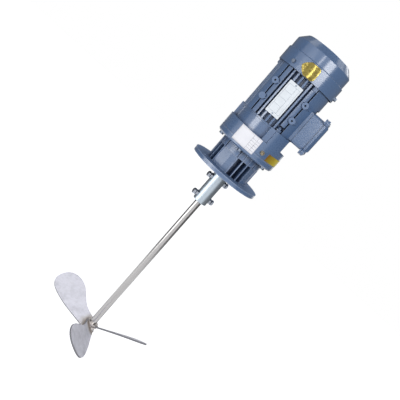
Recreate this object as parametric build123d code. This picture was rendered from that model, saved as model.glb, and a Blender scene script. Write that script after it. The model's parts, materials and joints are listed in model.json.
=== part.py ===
from build123d import *
import math
import os

# Electric tank agitator: a vertical flange gearmotor that turns a long shaft with a three-blade propeller.
# The origin is the centre of the flange's underside, +Z points up along the shaft, and the nameplate
# faces -Y. Angles round the shaft start at the front (-Y) and grow towards the terminal box (+X).
# All sizes are in millimetres, and all heights (low, high, z) are measured from the flange's underside.

# Clearances
slip_gap = 0.03  # radial, between a shaft, pin or bush and the hole it fits
run_gap = 0.3  # between a turning piece and a fixed one
seat_gap = 0.1  # between pieces that drop into each other
hole_gap = 0.3  # radial, between a screw and its clearance hole

# Output housing: flange, ribbed neck and the lower half of the gear case
flange_r = 92.5
flange_thick = 10
flange_pcd = 154
flange_hole_r = 5.5
flange_hole_count = 4
spigot_r = 60
spigot_high = 4
window_high = 45.5
collar_high = 19.5
core_r = 37
rib_r = 57.7
collar_r = 55.4
rib_thick = 2.8
neck_quarters = 4
block_turn = -15.5  # angle of the first block's middle
block_angle = 46
block_edge_angle = 28  # from the block's left side to the edge between its two flat faces
block_edge_r = 54.8
block_side_r = 56
pad_angle = 38  # of the round pad above a block
ribs_between = 2
case_r = 80.5
case_wall = 14.5
case_flange_thick = 15
case_bolt_count = 6
case_bolt_circle_r = 72
case_floor = 5
case_edge_cut = 3  # chamfer round the case flange's lower edge
case_bolt_reach = 14  # into the upper half
gasket_thick = 0.6

# Motor bracket: the upper half of the gear case and the motor's lower end shield
bracket_ring_high = 32.4
bracket_r = 66.5
bracket_high = 35
bracket_wall = 6.5
chamber_high = 40
roof_thick = 14.5
bracket_boss_r = 34
bracket_rim_r = 68
bracket_rim_high = 4.5
lug_r = 77
lug_wide = 15
lug_turns = (30, 150, 270)
front_lug_turn = 21
side_pad_turn = 26.2  # of the thick wall beside the terminal box, flush with the gear case
side_pad_angle = 33.8
stud_circle_r = 68.5

# Oil plug, in the wall of the upper half of the gear case
plug_turn = 31
plug_rise = 10.4  # from the case's seam
plug_thread_r = 4
plug_flats = 10
plug_head = 4.5

# Motor frame and what is cast on it
frame_long = 126
frame_bore_r = 60
frame_wall = 4.5
fin_r = 73
front_fin_pitch = 12
front_fin_count = 5
front_fin_thick = 4.4
pad_low_x = 31
pad_high_x = 41.5
side_fin_x = 44.5
side_fin_pitch = 8
side_fin_first = 14.5
side_fin_count = 4
side_fin_thick = 3
corner_pad_y = 44.5
foot_boss_x = 44
foot_boss_rise = 60  # from the frame's lower end to the middle of a pair
foot_boss_spacing = 43.5
foot_boss_r = 7.8
foot_boss_face = 66.5
foot_web_drop = 0.8
foot_rib_x = 60  # end of the rib outside a boss
foot_rib_thick = 6
foot_hole_r = 2.3
foot_hole_deep = 9
ear_thick = 6
ear_notch_high = 9
ear_notch_wide = 13
top_ear_r = 76
top_ear_wide = 11
top_ear_high = 9
stud_reach = 15  # of a stud or screw, into its thread

# Terminal box
box_face_x = 69.5
box_rise = 1.7  # from the frame's lower end
box_long = 83
box_wide = 80
box_deep = 32
box_wall = 4
box_corner_r = 8
box_gasket_thick = 1
lid_gasket_thick = 0.8
lid_rim_thick = 5
lid_dome_high = 7
lid_dome_inset = 3
lid_slope = 50  # of the raised middle's sides
lid_wall = 3.5
lid_overhang = 4
lid_corner_r = 9
lug_beside = 2.5  # from the box's side to a lid screw
lug_beyond = 0.5  # from the box's end to a lid screw
lid_lug_r = 7.5
lid_lug_proud = 1.5
box_lug_thick = 4
saddle_inset = 2  # of the frame's seat, from the box's edge
lead_opening = 34

# Terminal board and cable gland
board_thick = 8
board_long = 56
board_wide = 34
board_stand = 3
stud_r = 2
stud_pitch = 13
stud_row_half = 9
gland_thread_r = 9.8
gland_flats = 24
gland_nose_r = 9
gland_bore_r = 5.5

# Earth screw on the frame's smooth side, behind the terminal box
earth_turn = 118
earth_rise = 104  # from the frame's lower end

# Rear end shield, fan cover and fan
shield_rim_high = 8
shield_lug_wide = 12
shield_r = 72
shield_web = 6
rear_boss_r = 26
rear_boss_deep = 13
cover_edge_gap = 0.5  # between the frame and the cover's edge
cover_skirt_r = 78.8
cover_skirt_high = 36
cover_body_r = 76
cover_body_high = 24.5
cover_top_r = 59.5
cover_top_high = 17.5
cover_step = 2
cover_sheet = 1.5
cover_soft_r = 2.5
cover_screw_turns = (-30, 90, 210)
cover_screw_high = 11
cover_screw_long = 8
cover_washer_r = 4.8
cover_ear_wide = 14
cover_ear_high = 12
grille_inner_slots = (13, 25)  # from one radius to another
grille_outer_slots = (30, 50)
grille_inner_count = 12
grille_outer_count = 24
grille_slot_wide = 4
fan_r = 66
fan_hub_r = 14
fan_hub_high = 26
fan_blade_count = 8
fan_blade_thick = 2.4
fan_blade_high = 40
fan_disc_r = 42
fan_disc_thick = 3
fan_lift = 9
fan_eye_r = 52  # where the blades' slope reaches their top
fan_circlip_thick = 1

# Nameplate
plate_wide = 36
plate_high = 85
plate_thick = 0.8
plate_face = 69.6
plate_rise = 62  # from the frame's lower end to the plate's middle
plate_corner_r = 1.5
rivet_inset = 4
rivet_r = 1.6

# Ball bearings: bore radius, outer radius, width
drive_bearing = (12.5, 26, 15)
output_bearing = (15, 31, 16)
rear_bearing = (8.5, 20, 12)
inter_bearing = (6, 16, 10)
race_share = 0.3  # of a bearing's radial height, taken by each ring

# Oil seals: inner radius, outer radius, width
output_seal = (15, 31, 7)
input_seal = (12.5, 20, 7)

# Gear train: two stages of straight teeth between the same two centres
gear_module = 1.5
centre_distance = 36
first_pinion_teeth = 14
first_gear_teeth = 34
second_pinion_teeth = 15
second_gear_teeth = 33
pressure_angle = 20
addendum = 0.9  # in modules
dedendum = 1.25  # in modules
tooth_thinning = 0.16  # taken off each tooth's width at the pitch circle, for backlash
inter_turn = 180  # the intermediate shaft lies behind the output shaft
first_face_wide = 14
second_face_wide = 16
gear_side_gap = 3

# Shafts
spacer_r = 14.4
output_end_r = 11
output_shoulder_r = 17
output_seat_r = 12
rotor_seat_r = 15
fan_seat_r = 7.5
pinion_neck_r = 8.5
inter_seat_r = 7.5
inter_collar_r = 8.5

# Rotor and stator
stack_end_room = 23  # from each end of the frame to the stator core
stack_r = 36
air_gap = 0.4
end_ring_long = 6
end_ring_r = 33
end_ring_bore_r = 22
winding_long = 14
winding_inner_r = 40
winding_outer_r = 56

# Coupling, mixer shaft and propeller
coupling_r = 18.5
coupling_drop = 9
output_key_long = 26
output_key_inset = 8  # from the coupling's top
coupling_long = 82
coupling_bolt_spacing = 54
coupling_bolt_turn = -60
coupling_bolt_deep = 3  # how far a bolt's tip enters the shaft
coupling_flat_r = 16.9  # from the axis to the flats under the lock nuts
coupling_flat_wide = 8.2  # radius of those flats
lock_nut_high = 6.5
bolt_show = 2  # thread that shows between lock nut and head
mixer_r = 9
mixer_long = 490
shaft_end_gap = 2
hub_r = 15.5
hub_long = 29
blade_count = 3
blade_first_turn = 13
blade_tip_r = 168
blade_thick = 4
blade_pitch = 33
blade_twist = 5  # the root is pitched this much more than the tip
blade_rake = 3.5
blade_root_half = 19
blade_neck_at = 0.33  # of the blade's radius, where it starts to widen
blade_neck_half = 26  # width behind the middle line there
blade_head_at = 0.7  # of the blade's radius, where it is widest
blade_head_half = 40
blade_lean = 15.5  # how far the round head's middle is set towards the trailing edge
weld_proud = 2.2

# Fasteners: thread radius, width across flats, head height
m4 = (2, 7, 2.8)
m5 = (2.5, 8, 3.5)
m6 = (3, 10, 4)
m8 = (4, 13, 5.3)
washer_thick = 1.6

# Heights worked out from the sizes above
neck_top = flange_thick + window_high + collar_high
seam = neck_top + case_flange_thick
bracket_low = seam + gasket_thick
ring_top = bracket_low + bracket_ring_high
frame_low = ring_top + bracket_high
frame_top = frame_low + frame_long
shield_top = frame_top + shield_rim_high
cover_edge = frame_top + cover_edge_gap
cover_slope = cover_edge + cover_skirt_high + cover_step + cover_body_high
cover_top = cover_slope + cover_top_high
fan_low = shield_top + fan_lift
chamber_low = neck_top + case_floor
chamber_top = chamber_low + chamber_high
second_low = chamber_low + gear_side_gap
output_gear_low = second_low + 1
output_gear_top = output_gear_low + second_face_wide
second_top = output_gear_top + 2
first_low = second_top + 2
first_top = first_low + first_face_wide
stack_low = frame_low + stack_end_room
stack_top = frame_top - stack_end_room
boss_mid = frame_low + foot_boss_rise
plate_z = frame_low + plate_rise
plug_z = bracket_low + plug_rise
earth_z = frame_low + earth_rise
box_low = frame_low + box_rise
case_inner_r = case_r - case_wall
box_mid = box_low + box_long / 2
box_body_x = box_face_x + box_gasket_thick
lid_x = box_body_x + box_deep + lid_gasket_thick
lid_half = box_long / 2 + lid_overhang
gland_x = box_body_x + box_wall + gland_flats / 2 + 1

# Heights of the bearings and seals
output_seal_low = 0.2
output_bearing_low = output_seal_low + output_seal[2] + 2
drive_bearing_low = output_bearing_low + output_bearing[2] + 17
inter_low_seat = chamber_low - 1 - inter_bearing[2]
input_seal_low = chamber_top + roof_thick - 4.5
front_bearing_low = input_seal_low + input_seal[2] + 1
rear_bearing_low = frame_top - rear_boss_deep + 0.5
coupling_low = -coupling_drop - coupling_long
coupling_mid = -coupling_drop - coupling_long / 2
mixer_top = coupling_mid - shaft_end_gap / 2
mixer_low = mixer_top - mixer_long
hub_low = mixer_low
output_low = coupling_mid + shaft_end_gap / 2
output_top = output_gear_top + 2.5
inter_x = centre_distance * math.sin(math.radians(inter_turn))
inter_y = -centre_distance * math.cos(math.radians(inter_turn))


def disc(radius, low, high, x=0.0, y=0.0):
    """A round bar between two heights."""
    bar = Cylinder(radius, high - low, align=(Align.CENTER, Align.CENTER, Align.MIN))
    return Pos(x, y, low) * bar


def tube(outer, inner, low, high, x=0.0, y=0.0):
    """A ring between two heights."""
    return disc(outer, low, high, x, y) - disc(inner, low - 1, high + 1, x, y)


def block(x_low, x_high, y_low, y_high, low, high):
    """A box between the given coordinates."""
    shape = Box(x_high - x_low, y_high - y_low, high - low, align=(Align.MIN, Align.MIN, Align.MIN))
    return Pos(x_low, y_low, low) * shape


def turned(shape, angle):
    """The shape, turned from the front by an angle round the shaft."""
    return Rot(0, 0, angle) * shape


def front_point(radius, angle, z=0.0):
    """A point at a radius and at an angle from the front."""
    a = math.radians(angle)
    return Vector(radius * math.sin(a), -radius * math.cos(a), z)


def outward(radius, angle, z):
    """A place on the round body at an angle from the front, with its own Z axis pointing outwards."""
    direction = front_point(1, angle)
    return Plane(origin=front_point(radius, angle, z), x_dir=(0, 0, 1), z_dir=direction).location


def lathe(points):
    """A round piece from its outline, given as (radius, height) points."""
    outline = Plane.XZ * make_face(Polyline(*[(r, z) for r, z in points], close=True))
    return revolve(outline, Axis.Z)


def hexagon(across_flats, low, high):
    """A six-sided bar along Z."""
    outline = RegularPolygon(across_flats / 2, 6, major_radius=False)
    return Pos(0, 0, low) * extrude(outline, high - low)


def hex_screw(size, shank):
    """A hexagon screw: its head stands on z = 0 and its shank goes down."""
    thread_r, flats, head = size
    return hexagon(flats, 0, head) + disc(thread_r, -shank, 0.5)


def pan_screw(size, shank):
    """A pan-head screw: its head stands on z = 0 and its shank goes down."""
    thread_r, flats, head = size
    return disc(flats / 2, 0, head * 0.8) + disc(thread_r, -shank, 0.5)


def hex_nut(size, low, high):
    """A nut with a plain hole."""
    thread_r, flats, head = size
    return hexagon(flats, low, high) - disc(thread_r + slip_gap, low - 1, high + 1)


def save(name, *pieces):
    """Write the solids of one node to a STEP file."""
    solids = [solid for piece in pieces for solid in piece.solids()]
    shape = solids[0] if len(solids) == 1 else Compound(solids)
    export_step(shape, f"parts/{name}.step")


def outer_ring(size, low, x=0.0, y=0.0):
    """A bearing's outer ring with its shields."""
    bore, outer, width = size
    inner = bore + (outer - bore) * race_share + run_gap
    return tube(outer, inner, low, low + width, x, y)


def inner_ring(size, low, x=0.0, y=0.0):
    """A bearing's inner ring."""
    bore, outer, width = size
    outside = bore + (outer - bore) * race_share
    return tube(outside, bore + slip_gap, low, low + width, x, y)


def oil_seal(size, low):
    """A shaft seal. Its lip stops just short of the shaft, so that it runs free."""
    inner, outer, width = size
    return tube(outer, inner + run_gap, low, low + width)


def involute(angle):
    """The involute function of a pressure angle in radians."""
    return math.tan(angle) - angle


def gear_outline(teeth):
    """A gear's outline with involute flanks, one tooth pointing to +X."""
    pitch_r = teeth * gear_module / 2
    base_r = pitch_r * math.cos(math.radians(pressure_angle))
    tip_r = pitch_r + addendum * gear_module
    root_r = pitch_r - dedendum * gear_module
    half_tooth = math.pi / (2 * teeth) - tooth_thinning / (2 * pitch_r)
    start_r = max(base_r, root_r + 0.2)
    flank_radii = (start_r, (start_r + tip_r) / 2, tip_r)
    pitch_involute = involute(math.radians(pressure_angle))
    points = []
    for tooth in range(teeth):
        middle = 2 * math.pi * tooth / teeth
        offsets = []
        for r in flank_radii:
            flank = half_tooth + pitch_involute - involute(math.acos(min(base_r / r, 1)))
            offsets.append((r, flank))
        offsets = [(root_r, offsets[0][1] * 1.08)] + offsets
        for r, offset in offsets:
            points.append((r * math.cos(middle - offset), r * math.sin(middle - offset)))
        for r, offset in reversed(offsets):
            points.append((r * math.cos(middle + offset), r * math.sin(middle + offset)))
    return make_face(Polyline(*points, close=True))


def gear(teeth, low, high, turn):
    """A toothed disc whose first tooth points to a plan angle, measured from +X."""
    return Pos(0, 0, low) * (Rot(0, 0, turn) * extrude(gear_outline(teeth), high - low))


def parallel_key(width, seat_r, length, low, angle):
    """A square key, half in the shaft and half in the hub, at an angle from the front."""
    half = width / 2
    key = block(-half, half, -seat_r - half, -seat_r + half, low, low + length)
    return turned(key, angle)


def keyway(width, seat_r, length, low, angle):
    """The slot that a key drops into, a little larger all round."""
    half = width / 2 + seat_gap / 2
    slot = block(-half, half, -seat_r - half, -seat_r + half, low - seat_gap, low + length + seat_gap)
    return turned(slot, angle)


def output_key_place():
    """Width, seat radius, length, low end and angle of the key between output shaft and coupling."""
    low = -coupling_drop - output_key_inset - output_key_long
    return 6, output_end_r, output_key_long, low, coupling_bolt_turn + 90


def output_gear_key_place():
    """The same for the key under the output gear."""
    return 6, output_seat_r, second_face_wide - 3, output_gear_low + 1.5, 0


def inter_gear_key_place():
    """The same for the key under the intermediate gear, in the intermediate shaft's own frame."""
    return 4, inter_seat_r, first_face_wide - 3, first_low + 1.5, 0


def neck_block(low, high, angle):
    """One of the neck's solid blocks: two flat faces that meet at an edge."""
    left = block_turn + angle - block_angle / 2
    corners = [
        Vector(0, 0, 0),
        front_point(block_side_r, left),
        front_point(block_edge_r, left + block_edge_angle),
        front_point(block_side_r, left + block_angle),
    ]
    outline = make_face(Polyline(*[(p.X, p.Y) for p in corners], close=True))
    return Pos(0, 0, low) * extrude(outline, high - low)


def sector(radius, low, high, start, angle):
    """A wedge of a round bar, from a start angle."""
    corners = [(0, 0)]
    for step in range(3):
        point = front_point(radius * 1.2, start + step * angle / 2)
        corners.append((point.X, point.Y))
    wedge = Pos(0, 0, low) * extrude(make_face(Polyline(*corners, close=True)), high - low)
    return wedge & disc(radius, low, high)


def neck_sector(low, high, angle):
    """The round pad above a block, in the collar."""
    return sector(rib_r, low, high, block_turn + angle - pad_angle / 2, pad_angle)


def output_housing():
    """Flange, spigot, ribbed neck and lower case flange in one casting, with the bores for the shafts."""
    window_low = flange_thick
    window_top = flange_thick + window_high
    body = disc(flange_r, 0, flange_thick) + disc(spigot_r, -spigot_high, 0)
    body += disc(core_r, 0, window_top)
    body += disc(collar_r, window_top, neck_top)
    ring = disc(case_r, neck_top, seam)
    body += chamfer(ring.edges().filter_by(GeomType.CIRCLE).sort_by(Axis.Z)[0], case_edge_cut)
    step = 360 / neck_quarters
    rib_step = (step - block_angle) / (ribs_between + 1)
    for quarter in range(neck_quarters):
        body += neck_block(window_low, window_top, quarter * step)
        body += neck_sector(window_top, neck_top, quarter * step)
        for rib in range(ribs_between + 2):
            angle = block_turn + quarter * step + block_angle / 2 + rib * rib_step
            flat = block(-rib_thick / 2, rib_thick / 2, -rib_r, -core_r + 2, window_low, neck_top)
            body += turned(flat, angle)
    body -= disc(output_seal[1] + slip_gap, -spigot_high - 1, output_bearing_low + output_bearing[2])
    body -= disc(drive_bearing[1] + slip_gap, 0, drive_bearing_low + drive_bearing[2])
    body -= disc(spacer_r + 2 * run_gap, 0, seam)
    body -= disc(case_inner_r, chamber_low, seam + 1)
    body -= disc(inter_bearing[1] + slip_gap, inter_low_seat, seam, inter_x, inter_y)
    for index in range(flange_hole_count):
        spot = front_point(flange_pcd / 2, 45 + index * 360 / flange_hole_count)
        body -= disc(flange_hole_r, -1, flange_thick + 1, spot.X, spot.Y)
    for index in range(case_bolt_count):
        spot = front_point(case_bolt_circle_r, index * 360 / case_bolt_count)
        body -= disc(m6[0] + hole_gap, neck_top - 1, seam + 1, spot.X, spot.Y)
    return body


def case_gasket():
    """The paper gasket between the two halves of the gear case."""
    sheet = tube(case_r - 1, case_inner_r, seam, bracket_low)
    for index in range(case_bolt_count):
        spot = front_point(case_bolt_circle_r, index * 360 / case_bolt_count)
        sheet -= disc(m6[0] + hole_gap, seam - 1, bracket_low + 1, spot.X, spot.Y)
    return sheet


def case_bolts():
    """Hexagon bolts that hold the output housing up to the motor bracket."""
    low = neck_top - washer_thick
    bolt = Rot(180, 0, 0) * hex_screw(m6, case_flange_thick + case_bolt_reach)
    bolts = []
    for index in range(case_bolt_count):
        spot = front_point(case_bolt_circle_r, index * 360 / case_bolt_count)
        bolts.append(Pos(spot.X, spot.Y, low) * bolt)
    return bolts


def case_washers():
    """Spring washers under the case bolts' heads."""
    washers = []
    for index in range(case_bolt_count):
        spot = front_point(case_bolt_circle_r, index * 360 / case_bolt_count)
        washers.append(tube(m6[1] / 2, m6[0] + seat_gap, neck_top - washer_thick, neck_top, spot.X, spot.Y))
    return washers


def motor_bracket():
    """Upper half of the gear case and lower end shield of the motor, in one casting with lugs and a side pad."""
    roof_high = chamber_top + roof_thick
    body = disc(case_r, bracket_low, ring_top)
    body += disc(bracket_r, ring_top, frame_low)
    body += disc(bracket_rim_r, frame_low - bracket_rim_high, frame_low)
    body += sector(case_r, ring_top - 1, frame_low, side_pad_turn, side_pad_angle)
    for angle in (front_lug_turn, *lug_turns[1:]):
        body += turned(block(-lug_wide / 2, lug_wide / 2, -lug_r, -bracket_r + 5, ring_top, frame_low), angle)
    body -= disc(bracket_r - bracket_wall, roof_high, frame_low + 1)
    body += disc(bracket_boss_r, roof_high - 1, front_bearing_low + drive_bearing[2] + 1)
    body -= disc(case_inner_r, bracket_low - 1, chamber_top)
    seat_top = chamber_top + inter_bearing[2]
    body -= disc(inter_bearing[1] + slip_gap, chamber_top - 1, seat_top, inter_x, inter_y)
    body -= disc(rotor_seat_r, bracket_low, frame_low)
    body -= disc(input_seal[1] + slip_gap, input_seal_low, frame_low)
    body -= disc(drive_bearing[1] + slip_gap, front_bearing_low, frame_low)
    for index in range(case_bolt_count):
        spot = front_point(case_bolt_circle_r, index * 360 / case_bolt_count)
        body -= disc(m6[0] + slip_gap, bracket_low - 1, bracket_low + case_bolt_reach, spot.X, spot.Y)
    for angle in lug_turns:
        spot = front_point(stud_circle_r, angle)
        body -= disc(m5[0] + slip_gap, frame_low - stud_reach - 1, frame_low + 1, spot.X, spot.Y)
    body -= outward(case_inner_r - 2, plug_turn, plug_z) * disc(plug_thread_r + slip_gap, 0, case_wall + 4)
    return body


def oil_plug():
    """Brass filler plug with a hexagon head, in the gear case's wall."""
    plug = disc(plug_thread_r, -case_wall + 1, 0.5) + hexagon(plug_flats, 0, plug_head)
    return outward(case_r, plug_turn, plug_z) * plug


def bracket_studs():
    """Studs from the bracket's lugs through the ears of the motor frame."""
    studs = []
    for angle in lug_turns:
        spot = front_point(stud_circle_r, angle)
        studs.append(disc(m5[0], frame_low - stud_reach, frame_low + ear_thick + 6, spot.X, spot.Y))
    return studs


def bracket_nuts():
    """Nuts on those studs."""
    nuts = []
    low = frame_low + ear_thick
    for angle in lug_turns:
        spot = front_point(stud_circle_r, angle, low)
        nuts.append(Pos(spot) * (Rot(0, 0, angle) * hex_nut(m5, 0, 4)))
    return nuts


def finned_section():
    """The motor frame in plan: a tube with parallel fins, broad pads and a smooth side under the box."""
    wall_r = frame_bore_r + frame_wall
    reach = fin_r + 10
    fins = Rectangle(0.1, 0.1)
    for index in range(front_fin_count):
        x = (index - (front_fin_count - 1) / 2) * front_fin_pitch
        fins += Pos(x, 0) * Rectangle(front_fin_thick, 2 * reach)
    for side in (-1, 1):
        middle = side * (pad_low_x + pad_high_x) / 2
        fins += Pos(middle, 0) * Rectangle(pad_high_x - pad_low_x, 2 * reach)
    left = Pos(-side_fin_x - reach / 2, 0) * Rectangle(reach, lug_wide)
    for side in (-1, 1):
        for index in range(side_fin_count):
            y = side * (side_fin_first + index * side_fin_pitch)
            left += Pos(-side_fin_x - reach / 2, y) * Rectangle(reach, side_fin_thick)
        left += Pos(-side_fin_x - reach / 2, side * (corner_pad_y + reach / 2)) * Rectangle(reach, reach)
    right = Pos(side_fin_x + reach / 2, 0) * Rectangle(reach, 2 * reach)
    fins = (fins + left + right) & Circle(fin_r)
    return (fins + Circle(wall_r)) - Circle(frame_bore_r)


def foot_bosses():
    """Drilled bosses for feet. Each has a pointed web towards the front, and a rib on the smooth side."""
    bosses = []
    wall = frame_bore_r + 1
    rib_face = foot_boss_face - 2 * foot_web_drop
    rib_foot = math.sqrt(fin_r ** 2 - foot_rib_x ** 2) - 1
    rib = [(foot_boss_x, -rib_face), (foot_boss_x + foot_boss_r * 0.7, -rib_face),
           (foot_rib_x, -rib_foot), (foot_boss_x, -rib_foot)]
    rib = extrude(make_face(Polyline(*rib, close=True)), foot_rib_thick)
    for side in (-1, 1):
        for step in (-1, 1):
            x = side * foot_boss_x
            z = boss_mid + step * foot_boss_spacing / 2
            place = Plane(origin=(x, 0, z), x_dir=(1, 0, 0), z_dir=(0, -1, 0)).location
            boss = place * disc(foot_boss_r, math.sqrt(wall * wall - x * x), foot_boss_face)
            tip = side * (pad_low_x + 2)
            web = [(tip, z), (x, z - foot_boss_r * 0.8), (x, z + foot_boss_r * 0.8)]
            arm = Plane.XZ * make_face(Polyline(*web, close=True))
            boss += extrude(arm, foot_boss_face - foot_web_drop)
            if side > 0:
                boss += Pos(0, 0, z - foot_rib_thick / 2) * rib
            bosses.append(boss - disc(wall, frame_low, frame_top))
    return bosses


def motor_frame():
    """Finned motor frame with foot bosses, stud ears and the flat seat of the terminal box."""
    body = Pos(0, 0, frame_low) * extrude(finned_section(), frame_long)
    for boss in foot_bosses():
        body += boss
    for side in (-1, 1):
        for step in (-1, 1):
            if side < 0 and step < 0:
                continue
            z = boss_mid + step * foot_boss_spacing / 2
            hole = Plane(origin=(side * foot_boss_x, -foot_boss_face - 1, z), z_dir=(0, 1, 0)).location
            body -= hole * disc(foot_hole_r, 0, foot_hole_deep)
    half_x = plate_wide / 2 + 0.6
    half_z = plate_high / 2 + 1
    body -= block(-half_x, half_x, -fin_r - 5, -plate_face, plate_z - half_z, plate_z + half_z)
    saddle_y = box_wide / 2 - saddle_inset
    saddle = block(frame_bore_r / 2, box_face_x, -saddle_y, saddle_y,
                   box_low + saddle_inset, box_low + box_long - saddle_inset)
    body += saddle - disc(frame_bore_r + frame_wall / 2, frame_low, frame_top)
    body -= block(box_face_x, fin_r + 5, -fin_r, fin_r, frame_low - 1, box_low + box_long + 8)
    wall_r = frame_bore_r + frame_wall
    ear = block(-top_ear_wide / 2, top_ear_wide / 2, -top_ear_r, -wall_r, frame_top - top_ear_high, frame_top)
    notch_half = ear_notch_wide / 2
    for angle in lug_turns:
        spot = front_point(stud_circle_r, angle)
        low = frame_low + ear_thick
        notch = block(-notch_half, notch_half, -fin_r - 6, -wall_r + 0.8, low, low + ear_notch_high)
        body -= turned(notch, angle)
        body += turned(ear, angle)
        body -= disc(m5[0] + slip_gap, frame_low - 1, low + 1, spot.X, spot.Y)
        body -= disc(m5[0] + slip_gap, frame_top - stud_reach - 1, frame_top + 1, spot.X, spot.Y)
    body -= earth_place() * disc(m5[0] + slip_gap, -8, 2)
    return body - lead_hole(frame_bore_r - 8, box_face_x + 5)


def nameplate():
    """Bare plate on the cut-back fins."""
    sheet = Box(plate_wide, plate_thick, plate_high)
    sheet = fillet(sheet.edges().filter_by(Axis.Y), plate_corner_r)
    plate = Pos(0, -plate_face - plate_thick / 2, plate_z) * sheet
    for spot in rivet_spots():
        plate -= spot * disc(rivet_r * 0.6 + slip_gap, -3, 3)
    return plate


def rivet_spots():
    """Places of the nameplate's rivets, with their axes pointing forwards."""
    spots = []
    for side in (-1, 1):
        z = plate_z + side * (plate_high / 2 - rivet_inset)
        origin = (0, -plate_face - plate_thick, z)
        spots.append(Plane(origin=origin, x_dir=(1, 0, 0), z_dir=(0, -1, 0)).location)
    return spots


def nameplate_rivets():
    """Drive rivets with flat heads."""
    return [spot * (disc(rivet_r, 0, 0.7) + disc(rivet_r * 0.6, -plate_thick, 0.2)) for spot in rivet_spots()]


def rounded_slab(x_low, x_high, half_y, half_z, corner):
    """A slab across the X axis with rounded corners, centred on the terminal box."""
    slab = Box(x_high - x_low, 2 * half_y, 2 * half_z)
    slab = fillet(slab.edges().filter_by(Axis.X), corner)
    return Pos((x_low + x_high) / 2, 0, box_mid) * slab


def lead_hole(x_low, x_high):
    """The square way for the motor leads, from the frame into the terminal box."""
    half = lead_opening / 2
    return block(x_low, x_high, -half, half, box_mid - half, box_mid + half)


def lid_screw_spots():
    """Places of the lid's screws, on the lid's outer face, with their axes pointing outwards."""
    face = lid_x + lid_rim_thick
    spots = []
    for side in (-1, 1):
        for step in (-1, 1):
            origin = (face, side * (box_wide / 2 + lug_beside), box_mid + step * (box_long / 2 + lug_beyond))
            spots.append(Plane(origin=origin, x_dir=(0, 1, 0), z_dir=(1, 0, 0)).location)
    return spots


def terminal_box():
    """Open cast box with screw lugs at its mouth and a hole for the cable gland."""
    x_high = box_body_x + box_deep
    half_y = box_wide / 2
    half_z = box_long / 2
    body = rounded_slab(box_body_x, x_high, half_y, half_z, box_corner_r)
    lug_top = -lid_rim_thick - lid_gasket_thick
    lug_low = lug_top - box_lug_thick
    for spot in lid_screw_spots():
        body += spot * disc(lid_lug_r, lug_low, lug_top)
    hollow = (half_y - box_wall, half_z - box_wall, box_corner_r - box_wall)
    body -= rounded_slab(box_body_x + box_wall, x_high + 1, *hollow)
    for spot in lid_screw_spots():
        body -= spot * disc(m5[0] + slip_gap, lug_low - 1, lug_top + 1)
    body -= lead_hole(box_body_x - 1, box_body_x + box_wall + 1)
    for spot in board_screw_spots():
        body -= spot * disc(m4[0] + slip_gap, -20, 20)
    return body - gland_place() * disc(gland_thread_r + slip_gap, -box_wall - 3, 3)


def box_gasket():
    """Rubber gasket between the frame and the terminal box."""
    sheet = rounded_slab(box_face_x, box_body_x, box_wide / 2 - 1, box_long / 2 - 1, box_corner_r)
    return sheet - lead_hole(box_face_x - 1, box_body_x + 1)


def lid_gasket():
    """Rubber gasket under the lid."""
    half_y = box_wide / 2
    half_z = box_long / 2
    low = lid_x - lid_gasket_thick
    sheet = rounded_slab(low, lid_x, half_y, half_z, box_corner_r)
    hollow = (half_y - box_wall, half_z - box_wall, box_corner_r - box_wall)
    return sheet - rounded_slab(low - 1, lid_x + 1, *hollow)


def terminal_lid():
    """Lid with a flat rim, a raised middle with sloping sides and four screw lugs."""
    half_y = box_wide / 2 + lid_overhang
    rim_top = lid_x + lid_rim_thick
    body = rounded_slab(lid_x, rim_top, half_y, lid_half, lid_corner_r)
    for spot in lid_screw_spots():
        body += spot * disc(lid_lug_r, -lid_rim_thick, lid_lug_proud)
    raised = RectangleRounded(2 * (half_y - lid_dome_inset), 2 * (lid_half - lid_dome_inset), lid_corner_r)
    raised = Plane(origin=(rim_top, 0, box_mid), x_dir=(0, 1, 0), z_dir=(1, 0, 0)) * raised
    body += extrude(raised, lid_dome_high, taper=lid_slope)
    inner_y = box_wide / 2 - 2 * box_wall
    inner_z = box_long / 2 - 2 * box_wall
    inner_x = rim_top + lid_dome_high - lid_wall
    body -= rounded_slab(lid_x - 1, inner_x, inner_y, inner_z, box_corner_r - box_wall)
    for spot in lid_screw_spots():
        body -= spot * disc(m5[0] + hole_gap, -lid_rim_thick - 1, lid_lug_proud + 1)
        body -= spot * disc(m5[1] / 2 + 2 * hole_gap, lid_lug_proud, lid_dome_high + 5)
    return body


def lid_screws():
    """Pan-head screws of the lid."""
    shank = lid_lug_proud + lid_rim_thick + lid_gasket_thick + box_lug_thick - 0.5
    screw = Pos(0, 0, lid_lug_proud) * pan_screw(m5, shank)
    return [spot * screw for spot in lid_screw_spots()]


def board_screw_spots():
    """Places of the two screws that hold the terminal board to the box."""
    spots = []
    for side in (-1, 1):
        origin = (box_body_x + box_wall + board_stand + board_thick, 0, box_mid + side * (board_long / 2 - 5))
        spots.append(Plane(origin=origin, x_dir=(0, 1, 0), z_dir=(1, 0, 0)).location)
    return spots


def terminal_stud_spots():
    """Places of the six terminal studs on the board's face."""
    spots = []
    face = box_body_x + box_wall + board_stand + board_thick
    for row in (-1, 1):
        for column in (-1, 0, 1):
            origin = (face, row * stud_row_half, box_mid + column * stud_pitch)
            spots.append(Plane(origin=origin, x_dir=(0, 1, 0), z_dir=(1, 0, 0)).location)
    return spots


def terminal_board():
    """Moulded board that carries the terminal studs, on two short feet."""
    low = box_body_x + box_wall + board_stand
    body = block(low, low + board_thick, -board_wide / 2, board_wide / 2,
                 box_mid - board_long / 2, box_mid + board_long / 2)
    for side in (-1, 1):
        z = box_mid + side * (board_long / 2 - 5)
        body += block(low - board_stand, low, -board_wide / 2, board_wide / 2, z - 4, z + 4)
    for spot in board_screw_spots():
        body -= spot * disc(m4[0] + slip_gap, -20, 5)
    for spot in terminal_stud_spots():
        body -= spot * disc(stud_r + slip_gap, -board_thick - 1, 1)
    return body


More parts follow.
